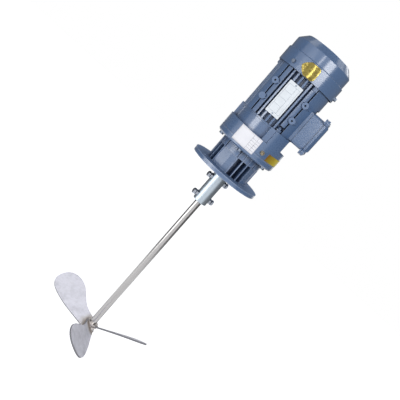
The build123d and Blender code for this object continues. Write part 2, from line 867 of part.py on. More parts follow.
def board_screws():
    """Screws that hold the terminal board."""
    screw = pan_screw(m4, board_thick + board_stand + box_wall - 0.5)
    return [spot * screw for spot in board_screw_spots()]


def terminal_studs():
    """Brass studs with nuts."""
    return [spot * (disc(stud_r, -board_thick, 10) + hexagon(7, 0, 3.2)) for spot in terminal_stud_spots()]


def gland_place():
    """Where the cable gland enters the box's rear side."""
    origin = (gland_x, box_wide / 2, box_mid)
    return Plane(origin=origin, x_dir=(0, 0, 1), z_dir=(0, 1, 0)).location


def cable_gland():
    """Gland body: thread, collar and the threaded nose under its cap."""
    body = disc(gland_thread_r, -box_wall - 5, 0.5) + hexagon(gland_flats, 0, 6) + disc(gland_nose_r, 5, 14)
    return gland_place() * (body - disc(gland_bore_r, -box_wall - 6, 20))


def gland_cap():
    """Domed cap nut of the gland, with the blanking disc that closes it."""
    cap = hexagon(22, 6.2, 13) + lathe([(0, 13), (10.4, 13), (10.4, 18), (6.6, 21.5), (0, 21.5)])
    return gland_place() * (cap - disc(gland_nose_r + slip_gap, 5, 14 + seat_gap))


def gland_nut():
    """Thin nut of the gland, inside the box."""
    nut = hexagon(gland_flats, -box_wall - 4, -box_wall) - disc(gland_thread_r + slip_gap, -box_wall - 5, 0)
    return gland_place() * nut


def earth_place():
    """Where the earth screw enters the frame's smooth side."""
    return outward(fin_r, earth_turn, earth_z)


def earth_screw():
    """Earth screw on the frame's smooth side, behind the terminal box."""
    return earth_place() * pan_screw(m5, 7)


def shield_screws():
    """Screws through the rear shield's lugs into the frame's pads."""
    spots = [front_point(stud_circle_r, angle, shield_top) for angle in lug_turns]
    return [Pos(spot) * hex_screw(m5, shield_rim_high + stud_reach) for spot in spots]


def rear_shield():
    """Rear end shield: rim, web, bearing boss, three lugs and three ears for the fan cover."""
    inside = cover_skirt_r - cover_sheet - seat_gap
    half_lug = shield_lug_wide / 2
    body = disc(shield_r, frame_top, shield_top)
    for angle in lug_turns:
        body += turned(block(-half_lug, half_lug, -inside + 0.5, -shield_r + 6, frame_top, shield_top), angle)
    body -= disc(frame_bore_r, frame_top - 1, shield_top - shield_web)
    body += disc(rear_boss_r, frame_top - rear_boss_deep, shield_top)
    seat_top = rear_bearing_low + rear_bearing[2] + 1.6
    body -= disc(rear_bearing[1] + slip_gap, frame_top - rear_boss_deep - 1, seat_top)
    body -= disc(rear_bearing[0] + 3, frame_top, shield_top + 1)
    ear = block(-cover_ear_wide / 2, cover_ear_wide / 2, -cover_skirt_r, -inside + 8,
                shield_top - 1, shield_top + cover_ear_high)
    for angle in cover_screw_turns:
        body += turned(ear, angle) & disc(inside, shield_top - 1, shield_top + cover_ear_high)
        body -= outward(inside - 9, angle, cover_edge + cover_screw_high) * disc(m5[0] + slip_gap, 0, 12)
    for angle in lug_turns:
        spot = front_point(stud_circle_r, angle)
        body -= disc(m5[0] + hole_gap, frame_top - 1, shield_top + 1, spot.X, spot.Y)
    return body


def cover_outline(inset):
    """Half of the fan cover's section as a face, all round smaller by an inset."""
    step_z = cover_edge + cover_skirt_high
    top_z = cover_top - inset
    low_z = cover_edge - (1 if inset else 0)
    points = [
        (0, low_z),
        (cover_skirt_r - inset, low_z),
        (cover_skirt_r - inset, step_z - inset / 2),
        (cover_body_r - inset, step_z + cover_step - inset / 2),
        (cover_body_r - inset, cover_slope - inset / 2),
        (cover_top_r - inset / 2, top_z),
        (0, top_z),
    ]
    face = make_face(Polyline(*points, close=True))
    if inset == 0:
        face = fillet([v for v in face.vertices() if v.X > 1 and v.Y > step_z + cover_step], cover_soft_r)
    return Plane.XZ * face


def fan_cover():
    """Pressed fan cover with a stepped skirt, a sloped shoulder and a slotted top."""
    body = revolve(cover_outline(0), Axis.Z) - revolve(cover_outline(cover_sheet), Axis.Z)
    half = grille_slot_wide / 2
    rings = ((*grille_inner_slots, grille_inner_count), (*grille_outer_slots, grille_outer_count))
    for inner, outer, count in rings:
        slot = block(-half, half, -outer, -inner, cover_top - 2 * cover_sheet, cover_top + 1)
        for index in range(count):
            body -= turned(slot, index * 360 / count)
    for angle in cover_screw_turns:
        place = outward(cover_skirt_r - cover_sheet - 2, angle, cover_edge + cover_screw_high)
        body -= place * disc(m5[0] + hole_gap, 0, 6)
    return body


def fan_cover_screws():
    """Hexagon screws with washers round the fan cover's skirt."""
    spots = [outward(cover_skirt_r, angle, cover_edge + cover_screw_high) for angle in cover_screw_turns]
    washer = disc(cover_washer_r, 0, washer_thick)
    screw = Pos(0, 0, washer_thick) * hex_screw(m5, cover_screw_long + washer_thick)
    return [spot * (washer + screw) for spot in spots]


def cooling_fan():
    """Moulded radial fan on the rotor's rear end."""
    hub_top = fan_low + fan_hub_high
    top = fan_low + fan_blade_high
    body = disc(fan_hub_r, fan_low, hub_top) + disc(fan_disc_r, fan_low, fan_low + fan_disc_thick)
    half = fan_blade_thick / 2
    vane = block(-half, half, -fan_r, -fan_hub_r + 1, fan_low, top)
    for index in range(fan_blade_count):
        body += turned(vane, index * 360 / fan_blade_count + 10)
    body -= lathe([(fan_hub_r + 4, top + 1), (fan_hub_r + 4, hub_top), (fan_eye_r, top + 1)])
    return body - disc(fan_seat_r + slip_gap, fan_low - 1, top + 1)


def fan_circlip():
    """Retaining ring above the fan's hub, open at one side."""
    low = fan_low + fan_hub_high
    ring = tube(fan_seat_r + 2.6, fan_seat_r - 0.5 + slip_gap, low, low + fan_circlip_thick)
    return ring - block(-2, 2, -fan_seat_r - 4, 0, low - 1, low + 2)


def wave_washer():
    """Spring washer that loads the rear bearing."""
    low = rear_bearing_low + rear_bearing[2]
    return tube(rear_bearing[1] - 0.5, rear_bearing[1] - 4.5, low, low + 1)


def stator_core():
    """Laminated stator ring, pressed into the frame."""
    return tube(frame_bore_r - slip_gap, stack_r + air_gap, stack_low, stack_top)


def stator_windings():
    """The end turns of the winding, one bundle at each end of the core."""
    lower = tube(winding_outer_r, winding_inner_r, stack_low - winding_long, stack_low)
    upper = tube(winding_outer_r, winding_inner_r, stack_top, stack_top + winding_long)
    return [lower, upper]


def rotor_core():
    """Rotor stack with its cast end rings."""
    body = disc(stack_r, stack_low, stack_top)
    for low, high in ((stack_low - end_ring_long, stack_low), (stack_top, stack_top + end_ring_long)):
        body += tube(end_ring_r, end_ring_bore_r, low, high)
    return body - disc(rotor_seat_r + slip_gap, stack_low - 20, stack_top + 20)


def rotor_shaft():
    """Stepped rotor shaft with the first pinion cut in its lower end."""
    seat = drive_bearing[0]
    rear = rear_bearing[0]
    shoulder = front_bearing_low + drive_bearing[2]
    rear_shoulder = rear_bearing_low
    groove = fan_low + fan_hub_high
    top = groove + 5
    body = lathe([(0, first_top - 1), (pinion_neck_r, first_top - 1), (pinion_neck_r, input_seal_low - 1),
                  (seat, input_seal_low - 1), (seat, shoulder), (rotor_seat_r, shoulder),
                  (rotor_seat_r, rear_shoulder), (rear, rear_shoulder), (rear, shield_top + 4),
                  (fan_seat_r, shield_top + 4), (fan_seat_r, top - 1), (fan_seat_r - 1, top), (0, top)])
    body -= tube(fan_seat_r + 2, fan_seat_r - 0.5, groove - seat_gap, groove + fan_circlip_thick + seat_gap)
    turn = inter_turn - 90
    return body + gear(first_pinion_teeth, first_low, first_top, turn)


def intermediate_shaft():
    """Intermediate shaft with the second pinion cut in it."""
    journal = inter_bearing[0]
    top = chamber_top + inter_bearing[2]
    body = lathe([(0, inter_low_seat), (journal, inter_low_seat), (journal, chamber_low - 1),
                  (inter_collar_r, chamber_low - 1), (inter_collar_r, first_low - 2),
                  (inter_seat_r, first_low - 2), (inter_seat_r, first_top), (journal, first_top),
                  (journal, top), (0, top)])
    body += gear(second_pinion_teeth, second_low, second_top, inter_turn + 90)
    body -= keyway(*inter_gear_key_place())
    return Pos(inter_x, inter_y, 0) * body


def intermediate_gear():
    """Large gear of the first stage, keyed on the intermediate shaft."""
    gap = 180 / first_gear_teeth
    body = gear(first_gear_teeth, first_low, first_top, inter_turn + 90 + gap)
    body += disc(11, first_low, chamber_top - 0.4)
    body -= tube(20, 12.5, first_top - 3, first_top + 1)
    body -= disc(inter_seat_r + slip_gap, first_low - 1, chamber_top + 1)
    body -= keyway(*inter_gear_key_place())
    return Pos(inter_x, inter_y, 0) * body


def output_gear():
    """Large gear of the second stage, keyed on the output shaft."""
    gap = 180 / second_gear_teeth
    body = gear(second_gear_teeth, output_gear_low, output_gear_top, inter_turn - 90 + gap)
    body -= tube(20, 16, output_gear_top - 4, output_gear_top + 1)
    body -= disc(output_seat_r + slip_gap, output_gear_low - 1, output_gear_top + 1)
    return body - keyway(*output_gear_key_place())


def gear_spacer():
    """Sleeve between the upper output bearing and the output gear."""
    return tube(spacer_r, drive_bearing[0] + slip_gap, drive_bearing_low + drive_bearing[2], output_gear_low)


def output_shaft():
    """Stepped output shaft with key seats at both ends."""
    big = output_bearing[0]
    mid = drive_bearing[0]
    shoulder_low = output_bearing_low + output_bearing[2]
    body = lathe([(0, output_low), (output_end_r - 1, output_low), (output_end_r, output_low + 1),
                  (output_end_r, -2), (big, -2), (big, shoulder_low), (output_shoulder_r, shoulder_low),
                  (output_shoulder_r, drive_bearing_low), (mid, drive_bearing_low),
                  (mid, output_gear_low - 0.4), (output_seat_r, output_gear_low - 0.4),
                  (output_seat_r, output_top), (0, output_top)])
    body -= tube(output_seat_r + 2, output_seat_r - 0.6, output_gear_top, output_gear_top + 1 + seat_gap)
    body -= keyway(*output_gear_key_place())
    body -= keyway(*output_key_place())
    for hole in coupling_bolt_holes(output_end_r - coupling_bolt_deep - 0.5, m8[0] + seat_gap):
        body -= hole
    return body


def output_circlip():
    """Retaining ring above the output gear."""
    ring = tube(output_seat_r + 2.6, output_seat_r - 0.6 + slip_gap, output_gear_top, output_gear_top + 1)
    return ring - block(-2.5, 2.5, -output_seat_r - 4, 0, output_gear_top - 1, output_gear_top + 2)


def bearing_circlip():
    """Retaining ring in the housing between the seal and the lower output bearing."""
    low = output_seal_low + output_seal[2] + 0.1
    ring = tube(output_bearing[1] - slip_gap, output_bearing[1] - 4, low, low + 1.8)
    return ring - block(-4, 4, -output_bearing[1] - 1, 0, low - 1, low + 3)


def coupling_bolt_places():
    """Angle, height and step (-1 mixer shaft, 1 output shaft) of each of the coupling's four set bolts."""
    places = []
    for step in (-1, 1):
        z = coupling_mid + step * coupling_bolt_spacing / 2
        for side in (0, 180):
            places.append((coupling_bolt_turn + side, z, step))
    return places


def coupling_bolt_holes(bottom, radius):
    """Round cuts along the set bolts' axes, from a bottom radius outwards."""
    cut = disc(radius, 0, coupling_r * 2)
    return [outward(bottom, turn, z) * cut for turn, z, step in coupling_bolt_places()]


def coupling_sleeve():
    """Rigid sleeve that joins the output shaft to the mixer shaft."""
    top = -coupling_drop
    body = disc(coupling_r, coupling_low, top)
    body = chamfer(body.edges().filter_by(GeomType.CIRCLE), 1)
    body -= disc(output_end_r + slip_gap, coupling_mid, top + 1)
    body -= disc(mixer_r + slip_gap, coupling_low - 1, coupling_mid + 1)
    for hole in coupling_bolt_holes(0, m8[0] + slip_gap):
        body -= hole
    for flat in coupling_bolt_holes(coupling_flat_r, coupling_flat_wide):
        body -= flat
    width, seat_r, length, low, angle = output_key_place()
    return body - keyway(width, seat_r, length + 2 * output_key_inset, low, angle)


def coupling_nuts():
    """Lock nuts on the set bolts, seated on flats of the sleeve."""
    nut = hex_nut(m8, 0, lock_nut_high)
    return [outward(coupling_flat_r, turn, z) * nut for turn, z, step in coupling_bolt_places()]


def coupling_bolts():
    """Hexagon set bolts whose tips sit in dimples of the two shafts."""
    bolts = []
    base = coupling_flat_r + lock_nut_high + bolt_show
    for turn, z, step in coupling_bolt_places():
        shaft_r = output_end_r if step > 0 else mixer_r
        bolts.append(outward(base, turn, z) * hex_screw(m8, base - shaft_r + coupling_bolt_deep))
    return bolts


def mixer_shaft():
    """Long round shaft with dimples for the set bolts."""
    body = disc(mixer_r, mixer_low, mixer_top)
    body = chamfer(body.edges().filter_by(GeomType.CIRCLE), 1)
    for hole in coupling_bolt_holes(mixer_r - coupling_bolt_deep - 0.5, m8[0] + seat_gap):
        body -= hole
    return body


def propeller_hub():
    """Hub bored for the mixer shaft."""
    body = disc(hub_r, hub_low, hub_low + hub_long)
    body = chamfer(body.edges().filter_by(GeomType.CIRCLE), 1.2)
    body -= disc(mixer_r + slip_gap, hub_low - 1, hub_low + hub_long + 1)
    place = outward(mixer_r - 1, blade_first_turn + 60, hub_low + hub_long / 2)
    return body - place * disc(m6[0] + slip_gap, 0, hub_r)


def hub_screw():
    """Grub screw that holds the hub on the shaft."""
    place = outward(mixer_r + seat_gap, blade_first_turn + 60, hub_low + hub_long / 2)
    return place * disc(m6[0], 0, hub_r - mixer_r - 0.8)


def blade_outline():
    """The blade's outline in its own plane: X runs outwards and -Y is the trailing side."""
    root_lead = Vector(0, blade_root_half)
    root_trail = Vector(0, -blade_root_half)
    neck_trail = Vector(blade_neck_at * blade_tip_r, -blade_neck_half)
    head_x = blade_head_at * blade_tip_r
    head_lead = Vector(head_x, blade_head_half - blade_lean)
    head_trail = Vector(head_x, -blade_head_half - blade_lean)
    tip = Vector(blade_tip_r, -blade_lean)
    lead = Spline(root_lead, head_lead, tip, tangents=((1, 0.05), (0, -1)))
    trail = Spline(root_trail, neck_trail, head_trail, tip, tangents=((1, 0), (0, 1)))
    return make_face([lead, trail, Line(root_trail, root_lead)])


def blade_slab(x_low, x_high, width, thick):
    """A slab along X whose pitch eases from root to tip."""
    sections = []
    for x in (x_low, (x_low + x_high) / 2, x_high):
        angle = -math.radians(blade_pitch + blade_twist * (0.5 - x / blade_tip_r))
        across = (0, math.cos(angle), math.sin(angle))
        plane = Plane(origin=(x, 0, 0), x_dir=across, z_dir=(1, 0, 0))
        sections.append(plane * Rectangle(width, thick))
    return loft(sections)


def blade(turn):
    """One twisted blade, cut to its outline and set on the hub."""
    slab = blade_slab(-5, blade_tip_r + 5, 3 * blade_head_half, blade_thick)
    cutter = Rot(-blade_pitch, 0, 0) * (Pos(0, 0, -60) * extrude(blade_outline(), 120))
    body = Rot(0, -blade_rake, 0) * (slab & cutter)
    body = Rot(0, 0, turn - 90) * body
    return Pos(0, 0, hub_low + hub_long / 2) * body - disc(hub_r + slip_gap, hub_low - 60, hub_low + 90)


def blade_weld(turn):
    """The weld beads above and below a blade's root, round the hub."""
    wide = 2 * blade_root_half
    outer = blade_slab(-5, hub_r + weld_proud, wide, blade_thick + 2 * weld_proud)
    inner = blade_slab(-8, hub_r + 20, wide * 3, blade_thick + 0.04)
    body = Rot(0, -blade_rake, 0) * (outer - inner)
    body = Pos(0, 0, hub_low + hub_long / 2) * (Rot(0, 0, turn - 90) * body)
    return body & tube(hub_r + weld_proud, hub_r + slip_gap, hub_low - 60, hub_low + 90)


os.makedirs("parts", exist_ok=True)

save("output_housing", output_housing())
save("case_gasket", case_gasket())
save("case_bolts", *case_bolts())
save("case_bolt_washers", *case_washers())
save("motor_bracket", motor_bracket())
save("oil_plug", oil_plug())
save("bracket_studs", *bracket_studs())
save("bracket_nuts", *bracket_nuts())
save("output_oil_seal", oil_seal(output_seal, output_seal_low))
save("input_oil_seal", oil_seal(input_seal, input_seal_low))
save("bearing_circlip", bearing_circlip())
save("output_bearing_outer_rings", outer_ring(output_bearing, output_bearing_low),
     outer_ring(drive_bearing, drive_bearing_low))
save("intermediate_bearing_outer_rings", outer_ring(inter_bearing, inter_low_seat, inter_x, inter_y),
     outer_ring(inter_bearing, chamber_top, inter_x, inter_y))
save("rotor_bearing_outer_rings", outer_ring(drive_bearing, front_bearing_low),
     outer_ring(rear_bearing, rear_bearing_low))
save("motor_frame", motor_frame())
save("stator_core", stator_core())
save("stator_windings", *stator_windings())
save("nameplate", nameplate())
save("nameplate_rivets", *nameplate_rivets())
save("terminal_box", terminal_box())
save("terminal_box_gaskets", box_gasket(), lid_gasket())
save("terminal_lid", terminal_lid())
save("terminal_lid_screws", *lid_screws())
save("terminal_board", terminal_board())
save("terminal_and_earth_screws", *board_screws(), earth_screw())
save("terminal_studs", *terminal_studs())
save("cable_gland", cable_gland())
save("cable_gland_cap", gland_cap())
save("cable_gland_nut", gland_nut())
save("rear_shield", rear_shield())
save("rear_shield_screws", *shield_screws())
save("bearing_wave_washer", wave_washer())
save("fan_cover", fan_cover())
save("fan_cover_screws", *fan_cover_screws())

save("rotor_shaft", rotor_shaft())
save("rotor_core", rotor_core())
save("rotor_bearing_inner_rings", inner_ring(drive_bearing, front_bearing_low),
     inner_ring(rear_bearing, rear_bearing_low))
save("cooling_fan", cooling_fan())
save("fan_circlip", fan_circlip())

save("intermediate_shaft", intermediate_shaft())
save("intermediate_gear", intermediate_gear())
save("intermediate_gear_key", Pos(inter_x, inter_y, 0) * parallel_key(*inter_gear_key_place()))
save("intermediate_bearing_inner_rings", inner_ring(inter_bearing, inter_low_seat, inter_x, inter_y),
     inner_ring(inter_bearing, chamber_top, inter_x, inter_y))

save("output_shaft", output_shaft())
save("output_gear", output_gear())
save("output_gear_key", parallel_key(*output_gear_key_place()))
save("output_gear_spacer", gear_spacer())
save("output_circlip", output_circlip())
save("output_bearing_inner_rings", inner_ring(output_bearing, output_bearing_low),
     inner_ring(drive_bearing, drive_bearing_low))
save("coupling_sleeve", coupling_sleeve())
save("coupling_key", parallel_key(*output_key_place()))
save("coupling_set_bolts", *coupling_bolts())
save("coupling_lock_nuts", *coupling_nuts())
save("mixer_shaft", mixer_shaft())
save("propeller_hub", propeller_hub())
save("hub_set_screw", hub_screw())
blade_turns = [blade_first_turn + index * 360 / blade_count for index in range(blade_count)]
for index, turn in enumerate(blade_turns):
    save(f"blade_{index + 1}", blade(turn))
save("blade_weld_beads", *[blade_weld(turn) for turn in blade_turns])
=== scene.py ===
import bmesh
import bpy
import json
import math
import numpy as np
from mathutils import Matrix, Vector

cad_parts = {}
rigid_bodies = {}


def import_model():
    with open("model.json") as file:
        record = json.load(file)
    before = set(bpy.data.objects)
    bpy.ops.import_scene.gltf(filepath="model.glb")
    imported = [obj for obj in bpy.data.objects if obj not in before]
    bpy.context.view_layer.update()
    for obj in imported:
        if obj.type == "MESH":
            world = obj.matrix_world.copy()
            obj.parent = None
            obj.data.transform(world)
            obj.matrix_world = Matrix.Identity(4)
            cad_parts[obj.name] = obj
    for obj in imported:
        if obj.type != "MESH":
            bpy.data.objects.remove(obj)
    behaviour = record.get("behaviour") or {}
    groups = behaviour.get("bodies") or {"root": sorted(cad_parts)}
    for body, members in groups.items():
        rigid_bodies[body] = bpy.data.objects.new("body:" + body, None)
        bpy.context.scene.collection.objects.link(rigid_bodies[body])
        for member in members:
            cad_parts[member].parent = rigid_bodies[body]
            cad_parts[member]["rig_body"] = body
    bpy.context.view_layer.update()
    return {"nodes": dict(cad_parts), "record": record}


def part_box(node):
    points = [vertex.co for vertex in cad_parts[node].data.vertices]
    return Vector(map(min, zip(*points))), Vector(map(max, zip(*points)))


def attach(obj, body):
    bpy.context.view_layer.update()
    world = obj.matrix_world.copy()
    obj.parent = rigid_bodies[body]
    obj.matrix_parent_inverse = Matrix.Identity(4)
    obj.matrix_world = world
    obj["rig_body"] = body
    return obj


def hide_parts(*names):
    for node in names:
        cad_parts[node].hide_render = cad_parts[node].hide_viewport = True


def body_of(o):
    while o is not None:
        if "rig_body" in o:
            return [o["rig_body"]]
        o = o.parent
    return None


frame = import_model()
nodes = frame["nodes"]
print("frame loaded:", len(nodes), "nodes")

# Photograph's view: the shaft leans across the picture, the camera looks slightly down at the flange
cameraSet = {
    "aimHeight": -0.088,  # height on the shaft that sits in the picture's middle
    "distance": 1.40,
    "azimuth": 5.5,
    "elevation": 11.5,
    "roll": 41.3,
    "lens": 52.0,
    "sensor": 36.0,
    "clipEnd": 30,
}


def outwardVector(azimuth, elevation):
    # unit vector from the object towards a camera or a lamp, from angles in degrees
    a, e = math.radians(azimuth), math.radians(elevation)
    return Vector((math.sin(a) * math.cos(e), -math.cos(a) * math.cos(e), math.sin(e)))


def makeCamera(settings):
    roll = math.radians(settings["roll"])
    back = outwardVector(settings["azimuth"], settings["elevation"])
    right = Vector((0, 0, 1)).cross(back).normalized()
    up = back.cross(right)
    rolledRight = right * math.cos(roll) + up * math.sin(roll)
    rolledUp = up * math.cos(roll) - right * math.sin(roll)
    data = bpy.data.cameras.new("photoCamera")
    data.lens = settings["lens"]
    data.sensor_width = settings["sensor"]
    data.clip_end = settings["clipEnd"]
    camera = bpy.data.objects.new("photoCamera", data)
    bpy.context.scene.collection.objects.link(camera)
    turn = Matrix((rolledRight, rolledUp, back)).transposed().to_4x4()
    aim = Vector((0, 0, settings["aimHeight"]))
    camera.matrix_world = Matrix.Translation(aim + back * settings["distance"]) @ turn
    bpy.context.scene.camera = camera


makeCamera(cameraSet)
bpy.context.scene.view_settings.view_transform = "Standard"
print("camera placed")


# Shader helpers
def newMaterial(name):
    material = bpy.data.materials.new(name)
    material.use_nodes = True
    tree = material.node_tree
    tree.nodes.clear()
    output = tree.nodes.new("ShaderNodeOutputMaterial")
    shader = tree.nodes.new("ShaderNodeBsdfPrincipled")
    tree.links.new(shader.outputs["BSDF"], output.inputs["Surface"])
    return material, tree, shader


def feed(tree, socket, value):
    # a link where the value is another node's socket, otherwise a constant
    if isinstance(value, bpy.types.NodeSocket):
        tree.links.new(value, socket)
    else:
        socket.default_value = value


def addNode(tree, kind, settings=None, inputs=None):
    node = tree.nodes.new(kind)
    for key, value in (settings or {}).items():
        setattr(node, key, value)
    for key, value in (inputs or {}).items():
        feed(tree, node.inputs[key], value)
    return node


def mathNode(tree, operation, first, second=0.0, clamp=False):
    settings = {"operation": operation, "use_clamp": clamp}
    return addNode(tree, "ShaderNodeMath", settings, {0: first, 1: second}).outputs[0]


def mapRange(tree, value, fromMin=0.0, fromMax=1.0, toMin=0.0, toMax=1.0):
    node = addNode(tree, "ShaderNodeMapRange", None, {
        "Value": value, "From Min": fromMin, "From Max": fromMax, "To Min": toMin, "To Max": toMax})
    return node.outputs[0]


def mixColour(tree, factor, first, second):
    node = addNode(tree, "ShaderNodeMix", {"data_type": "RGBA"}, {0: factor, 6: first, 7: second})
    return node.outputs[2]


def upwardShare(tree):
    # how far the surface faces up: the Z part of its normal
    geometry = tree.nodes.new("ShaderNodeNewGeometry")
    return addNode(tree, "ShaderNodeSeparateXYZ", None, {0: geometry.outputs["Normal"]}).outputs["Z"]


def addBump(tree, shader, strength, distance, height, normal=None):
    # bump from a height mask, over an already rounded normal where one is given
    bump = addNode(tree, "ShaderNodeBump", None, {
        "Strength": strength, "Distance": distance, "Height": height})
    if normal is not None:
        tree.links.new(normal, bump.inputs["Normal"])
    tree.links.new(bump.outputs[0], shader.inputs["Normal"])


def linear(hexColour):
    # sRGB hex to linear RGBA
    values = [int(hexColour[i:i + 2], 16) / 255 for i in (0, 2, 4)]
    return tuple(v / 12.92 if v <= 0.04045 else ((v + 0.055) / 1.055) ** 2.4 for v in values) + (1.0,)


def darkened(hexColour, share):
    return tuple(c * share for c in linear(hexColour)[:3]) + (1.0,)


def newGroup(name, inputs, outputs):
    group = bpy.data.node_groups.new(name, "ShaderNodeTree")
    for socketName, kind, value in inputs:
        socket = group.interface.new_socket(socketName, in_out="INPUT", socket_type=kind)
        socket.default_value = value
    for socketName, kind in outputs:
        group.interface.new_socket(socketName, in_out="OUTPUT", socket_type=kind)
    entry = group.nodes.new("NodeGroupInput")
    leave = group.nodes.new("NodeGroupOutput")
    return group, entry, leave


def placeGroup(tree, group, values):
    return addNode(tree, "ShaderNodeGroup", {"node_tree": group}, values)


def makeSpeckleGroup():
    # two scales of noise: broad clouds and fine grain, both as masks from 0 to 1 around 0.5
    group, entry, leave = newGroup(
        "speckle",
        [("Broad Scale", "NodeSocketFloat", 12.0), ("Fine Scale", "NodeSocketFloat", 400.0)],
        [("Broad", "NodeSocketFloat"), ("Fine", "NodeSocketFloat")])
    place = group.nodes.new("ShaderNodeTexCoord")
    for label, scale, detail in (("Broad", "Broad Scale", 3.0), ("Fine", "Fine Scale", 2.0)):
        noise = addNode(group, "ShaderNodeTexNoise", None, {
            "Vector": place.outputs["Object"], "Scale": entry.outputs[scale],
            "Detail": detail, "Roughness": 0.55})
        group.links.new(noise.outputs["Fac"], leave.inputs[label])
    return group


def makeBrushGroup():
    # fine lines round the Z axis, as a lathe or a polishing belt leaves them
    group, entry, leave = newGroup(
        "latheLines",
        [("Line Scale", "NodeSocketFloat", 900.0)],
        [("Lines", "NodeSocketFloat")])
    place = group.nodes.new("ShaderNodeTexCoord")
    split = addNode(group, "ShaderNodeSeparateXYZ", None, {0: place.outputs["Object"]})
    height = mathNode(group, "MULTIPLY", split.outputs["Z"], entry.outputs["Line Scale"])
    noise = addNode(group, "ShaderNodeTexNoise", {"noise_dimensions": "1D"}, {
        "W": height, "Scale": 1.0, "Detail": 4.0})
    group.links.new(noise.outputs["Fac"], leave.inputs["Lines"])
    return group


def makeEdgeGroup():
    # mask of convex edges: how far the rounded normal leans away from the flat one
    group, entry, leave = newGroup(
        "edgeMask",
        [("Radius", "NodeSocketFloat", 0.0015), ("Gain", "NodeSocketFloat", 6.0)],
        [("Mask", "NodeSocketFloat")])
    soft = addNode(group, "ShaderNodeBevel", {"samples": 4}, {"Radius": entry.outputs["Radius"]})
    flat = group.nodes.new("ShaderNodeNewGeometry")
    dot = addNode(group, "ShaderNodeVectorMath", {"operation": "DOT_PRODUCT"},
                  {0: soft.outputs[0], 1: flat.outputs["Normal"]})
    lean = mathNode(group, "SUBTRACT", 1.0, dot.outputs["Value"])
    mask = mathNode(group, "MULTIPLY", lean, entry.outputs["Gain"], clamp=True)
    group.links.new(mask, leave.inputs["Mask"])
    return group


speckle = makeSpeckleGroup()
latheLines = makeBrushGroup()
edgeMask = makeEdgeGroup()

# Paint: semi-gloss blue-grey enamel over castings and pressed sheet
paintSet = {
    "mid": "516c91",
    "light": "5f779b",
    "dark": "486188",
    "cloudScale": 9.0,
    "cloudFrom": 0.3,
    "cloudTo": 0.7,
    "cloudShare": 0.45,
    "edge": "8d9dba",  # thinner paint and painted highlight along the edges
    "edgeGain": 5.0,
    "groove": "1a2c4c",  # painted shade and dust in narrow grooves
    "grooveReach": 0.022,
    "grooveFrom": 0.22,  # openness of a full groove
    "grooveTo": 0.62,  # openness of a free face
    "grooveRoughness": 0.4,  # what a full groove adds
    "smoother": 0.04,  # how far the finest spots go under the mean roughness
    "rougher": 0.06,
    "levelFrom": 0.75,  # upward share of the normal where dust starts to lie
    "levelTo": 0.95,
    "settledRoughness": 0.8,  # fine dust that lies on level faces
    "coat": 0.75,
    "coatRoughness": 0.12,
    "specular": 0.6,
    "grainScale": 320.0,
    "grainFrom": 0.2,
    "grainTo": 0.8,
    "grainDepth": 0.0003,
}


def paintMaterial(name, grain, roughness, edgeRadius, wearAndHighlightRadius, wearAndHighlightShare=0.55, settled=1.0):
    material, tree, shader = newMaterial(name)
    marks = placeGroup(tree, speckle, {
        "Broad Scale": paintSet["cloudScale"], "Fine Scale": paintSet["grainScale"]})
    cloud = mapRange(tree, marks.outputs["Broad"], paintSet["cloudFrom"], paintSet["cloudTo"])
    tint = mixColour(tree, cloud, linear(paintSet["dark"]), linear(paintSet["light"]))
    colour = mixColour(tree, paintSet["cloudShare"], linear(paintSet["mid"]), tint)
    # edges run to the lighter edge colour: thinner paint and painted highlight
    edges = placeGroup(tree, edgeMask, {"Radius": wearAndHighlightRadius, "Gain": paintSet["edgeGain"]})
    share = mathNode(tree, "MULTIPLY", edges.outputs["Mask"], wearAndHighlightShare)
    wornAndHighlit = mixColour(tree, share, colour, linear(paintSet["edge"]))
    # where ambient occlusion finds a narrow groove, the colour runs to the groove colour: painted shade and
    # dust
    openness = addNode(tree, "ShaderNodeAmbientOcclusion", {"samples": 6}, {
        "Distance": paintSet["grooveReach"]})
    clear = mapRange(tree, openness.outputs["AO"], paintSet["grooveFrom"], paintSet["grooveTo"])
    grooveShadeAndDust = mixColour(tree, clear, linear(paintSet["groove"]), wornAndHighlit)
    tree.links.new(grooveShadeAndDust, shader.inputs["Base Color"])
    rough = mapRange(tree, marks.outputs["Fine"], paintSet["grainFrom"], paintSet["grainTo"],
                     roughness - paintSet["smoother"], roughness + paintSet["rougher"])
    dullness = mapRange(tree, clear, toMin=paintSet["grooveRoughness"], toMax=0.0)
    level = mapRange(tree, upwardShare(tree), paintSet["levelFrom"], paintSet["levelTo"], 0.0, settled)
    settledRough = mathNode(tree, "MULTIPLY", level, paintSet["settledRoughness"])
    matt = mathNode(tree, "MAXIMUM", mathNode(tree, "ADD", rough, dullness), settledRough)
    tree.links.new(matt, shader.inputs["Roughness"])
    coat = mathNode(tree, "MULTIPLY", clear, mathNode(tree, "SUBTRACT", 1.0, level))
    tree.links.new(mathNode(tree, "MULTIPLY", coat, paintSet["coat"]), shader.inputs["Coat Weight"])
    soft = addNode(tree, "ShaderNodeBevel", {"samples": 4}, {"Radius": edgeRadius})
    addBump(tree, shader, grain, paintSet["grainDepth"], marks.outputs["Fine"], soft.outputs[0])
    shader.inputs["Coat Roughness"].default_value = paintSet["coatRoughness"]
    shader.inputs["Specular IOR Level"].default_value = paintSet["specular"]
    return material


# Turned and rolled steel: fine lines round the axis and faint clouds
steelSet = {
    "lineScale": 900.0,
    "lineStrength": 0.05,
    "lineDepth": 0.0002,
    "grainScale": 500.0,
    "grainFrom": 0.25,
    "grainTo": 0.75,
    "grainRoughness": 0.06,  # what the roughest spots add
}


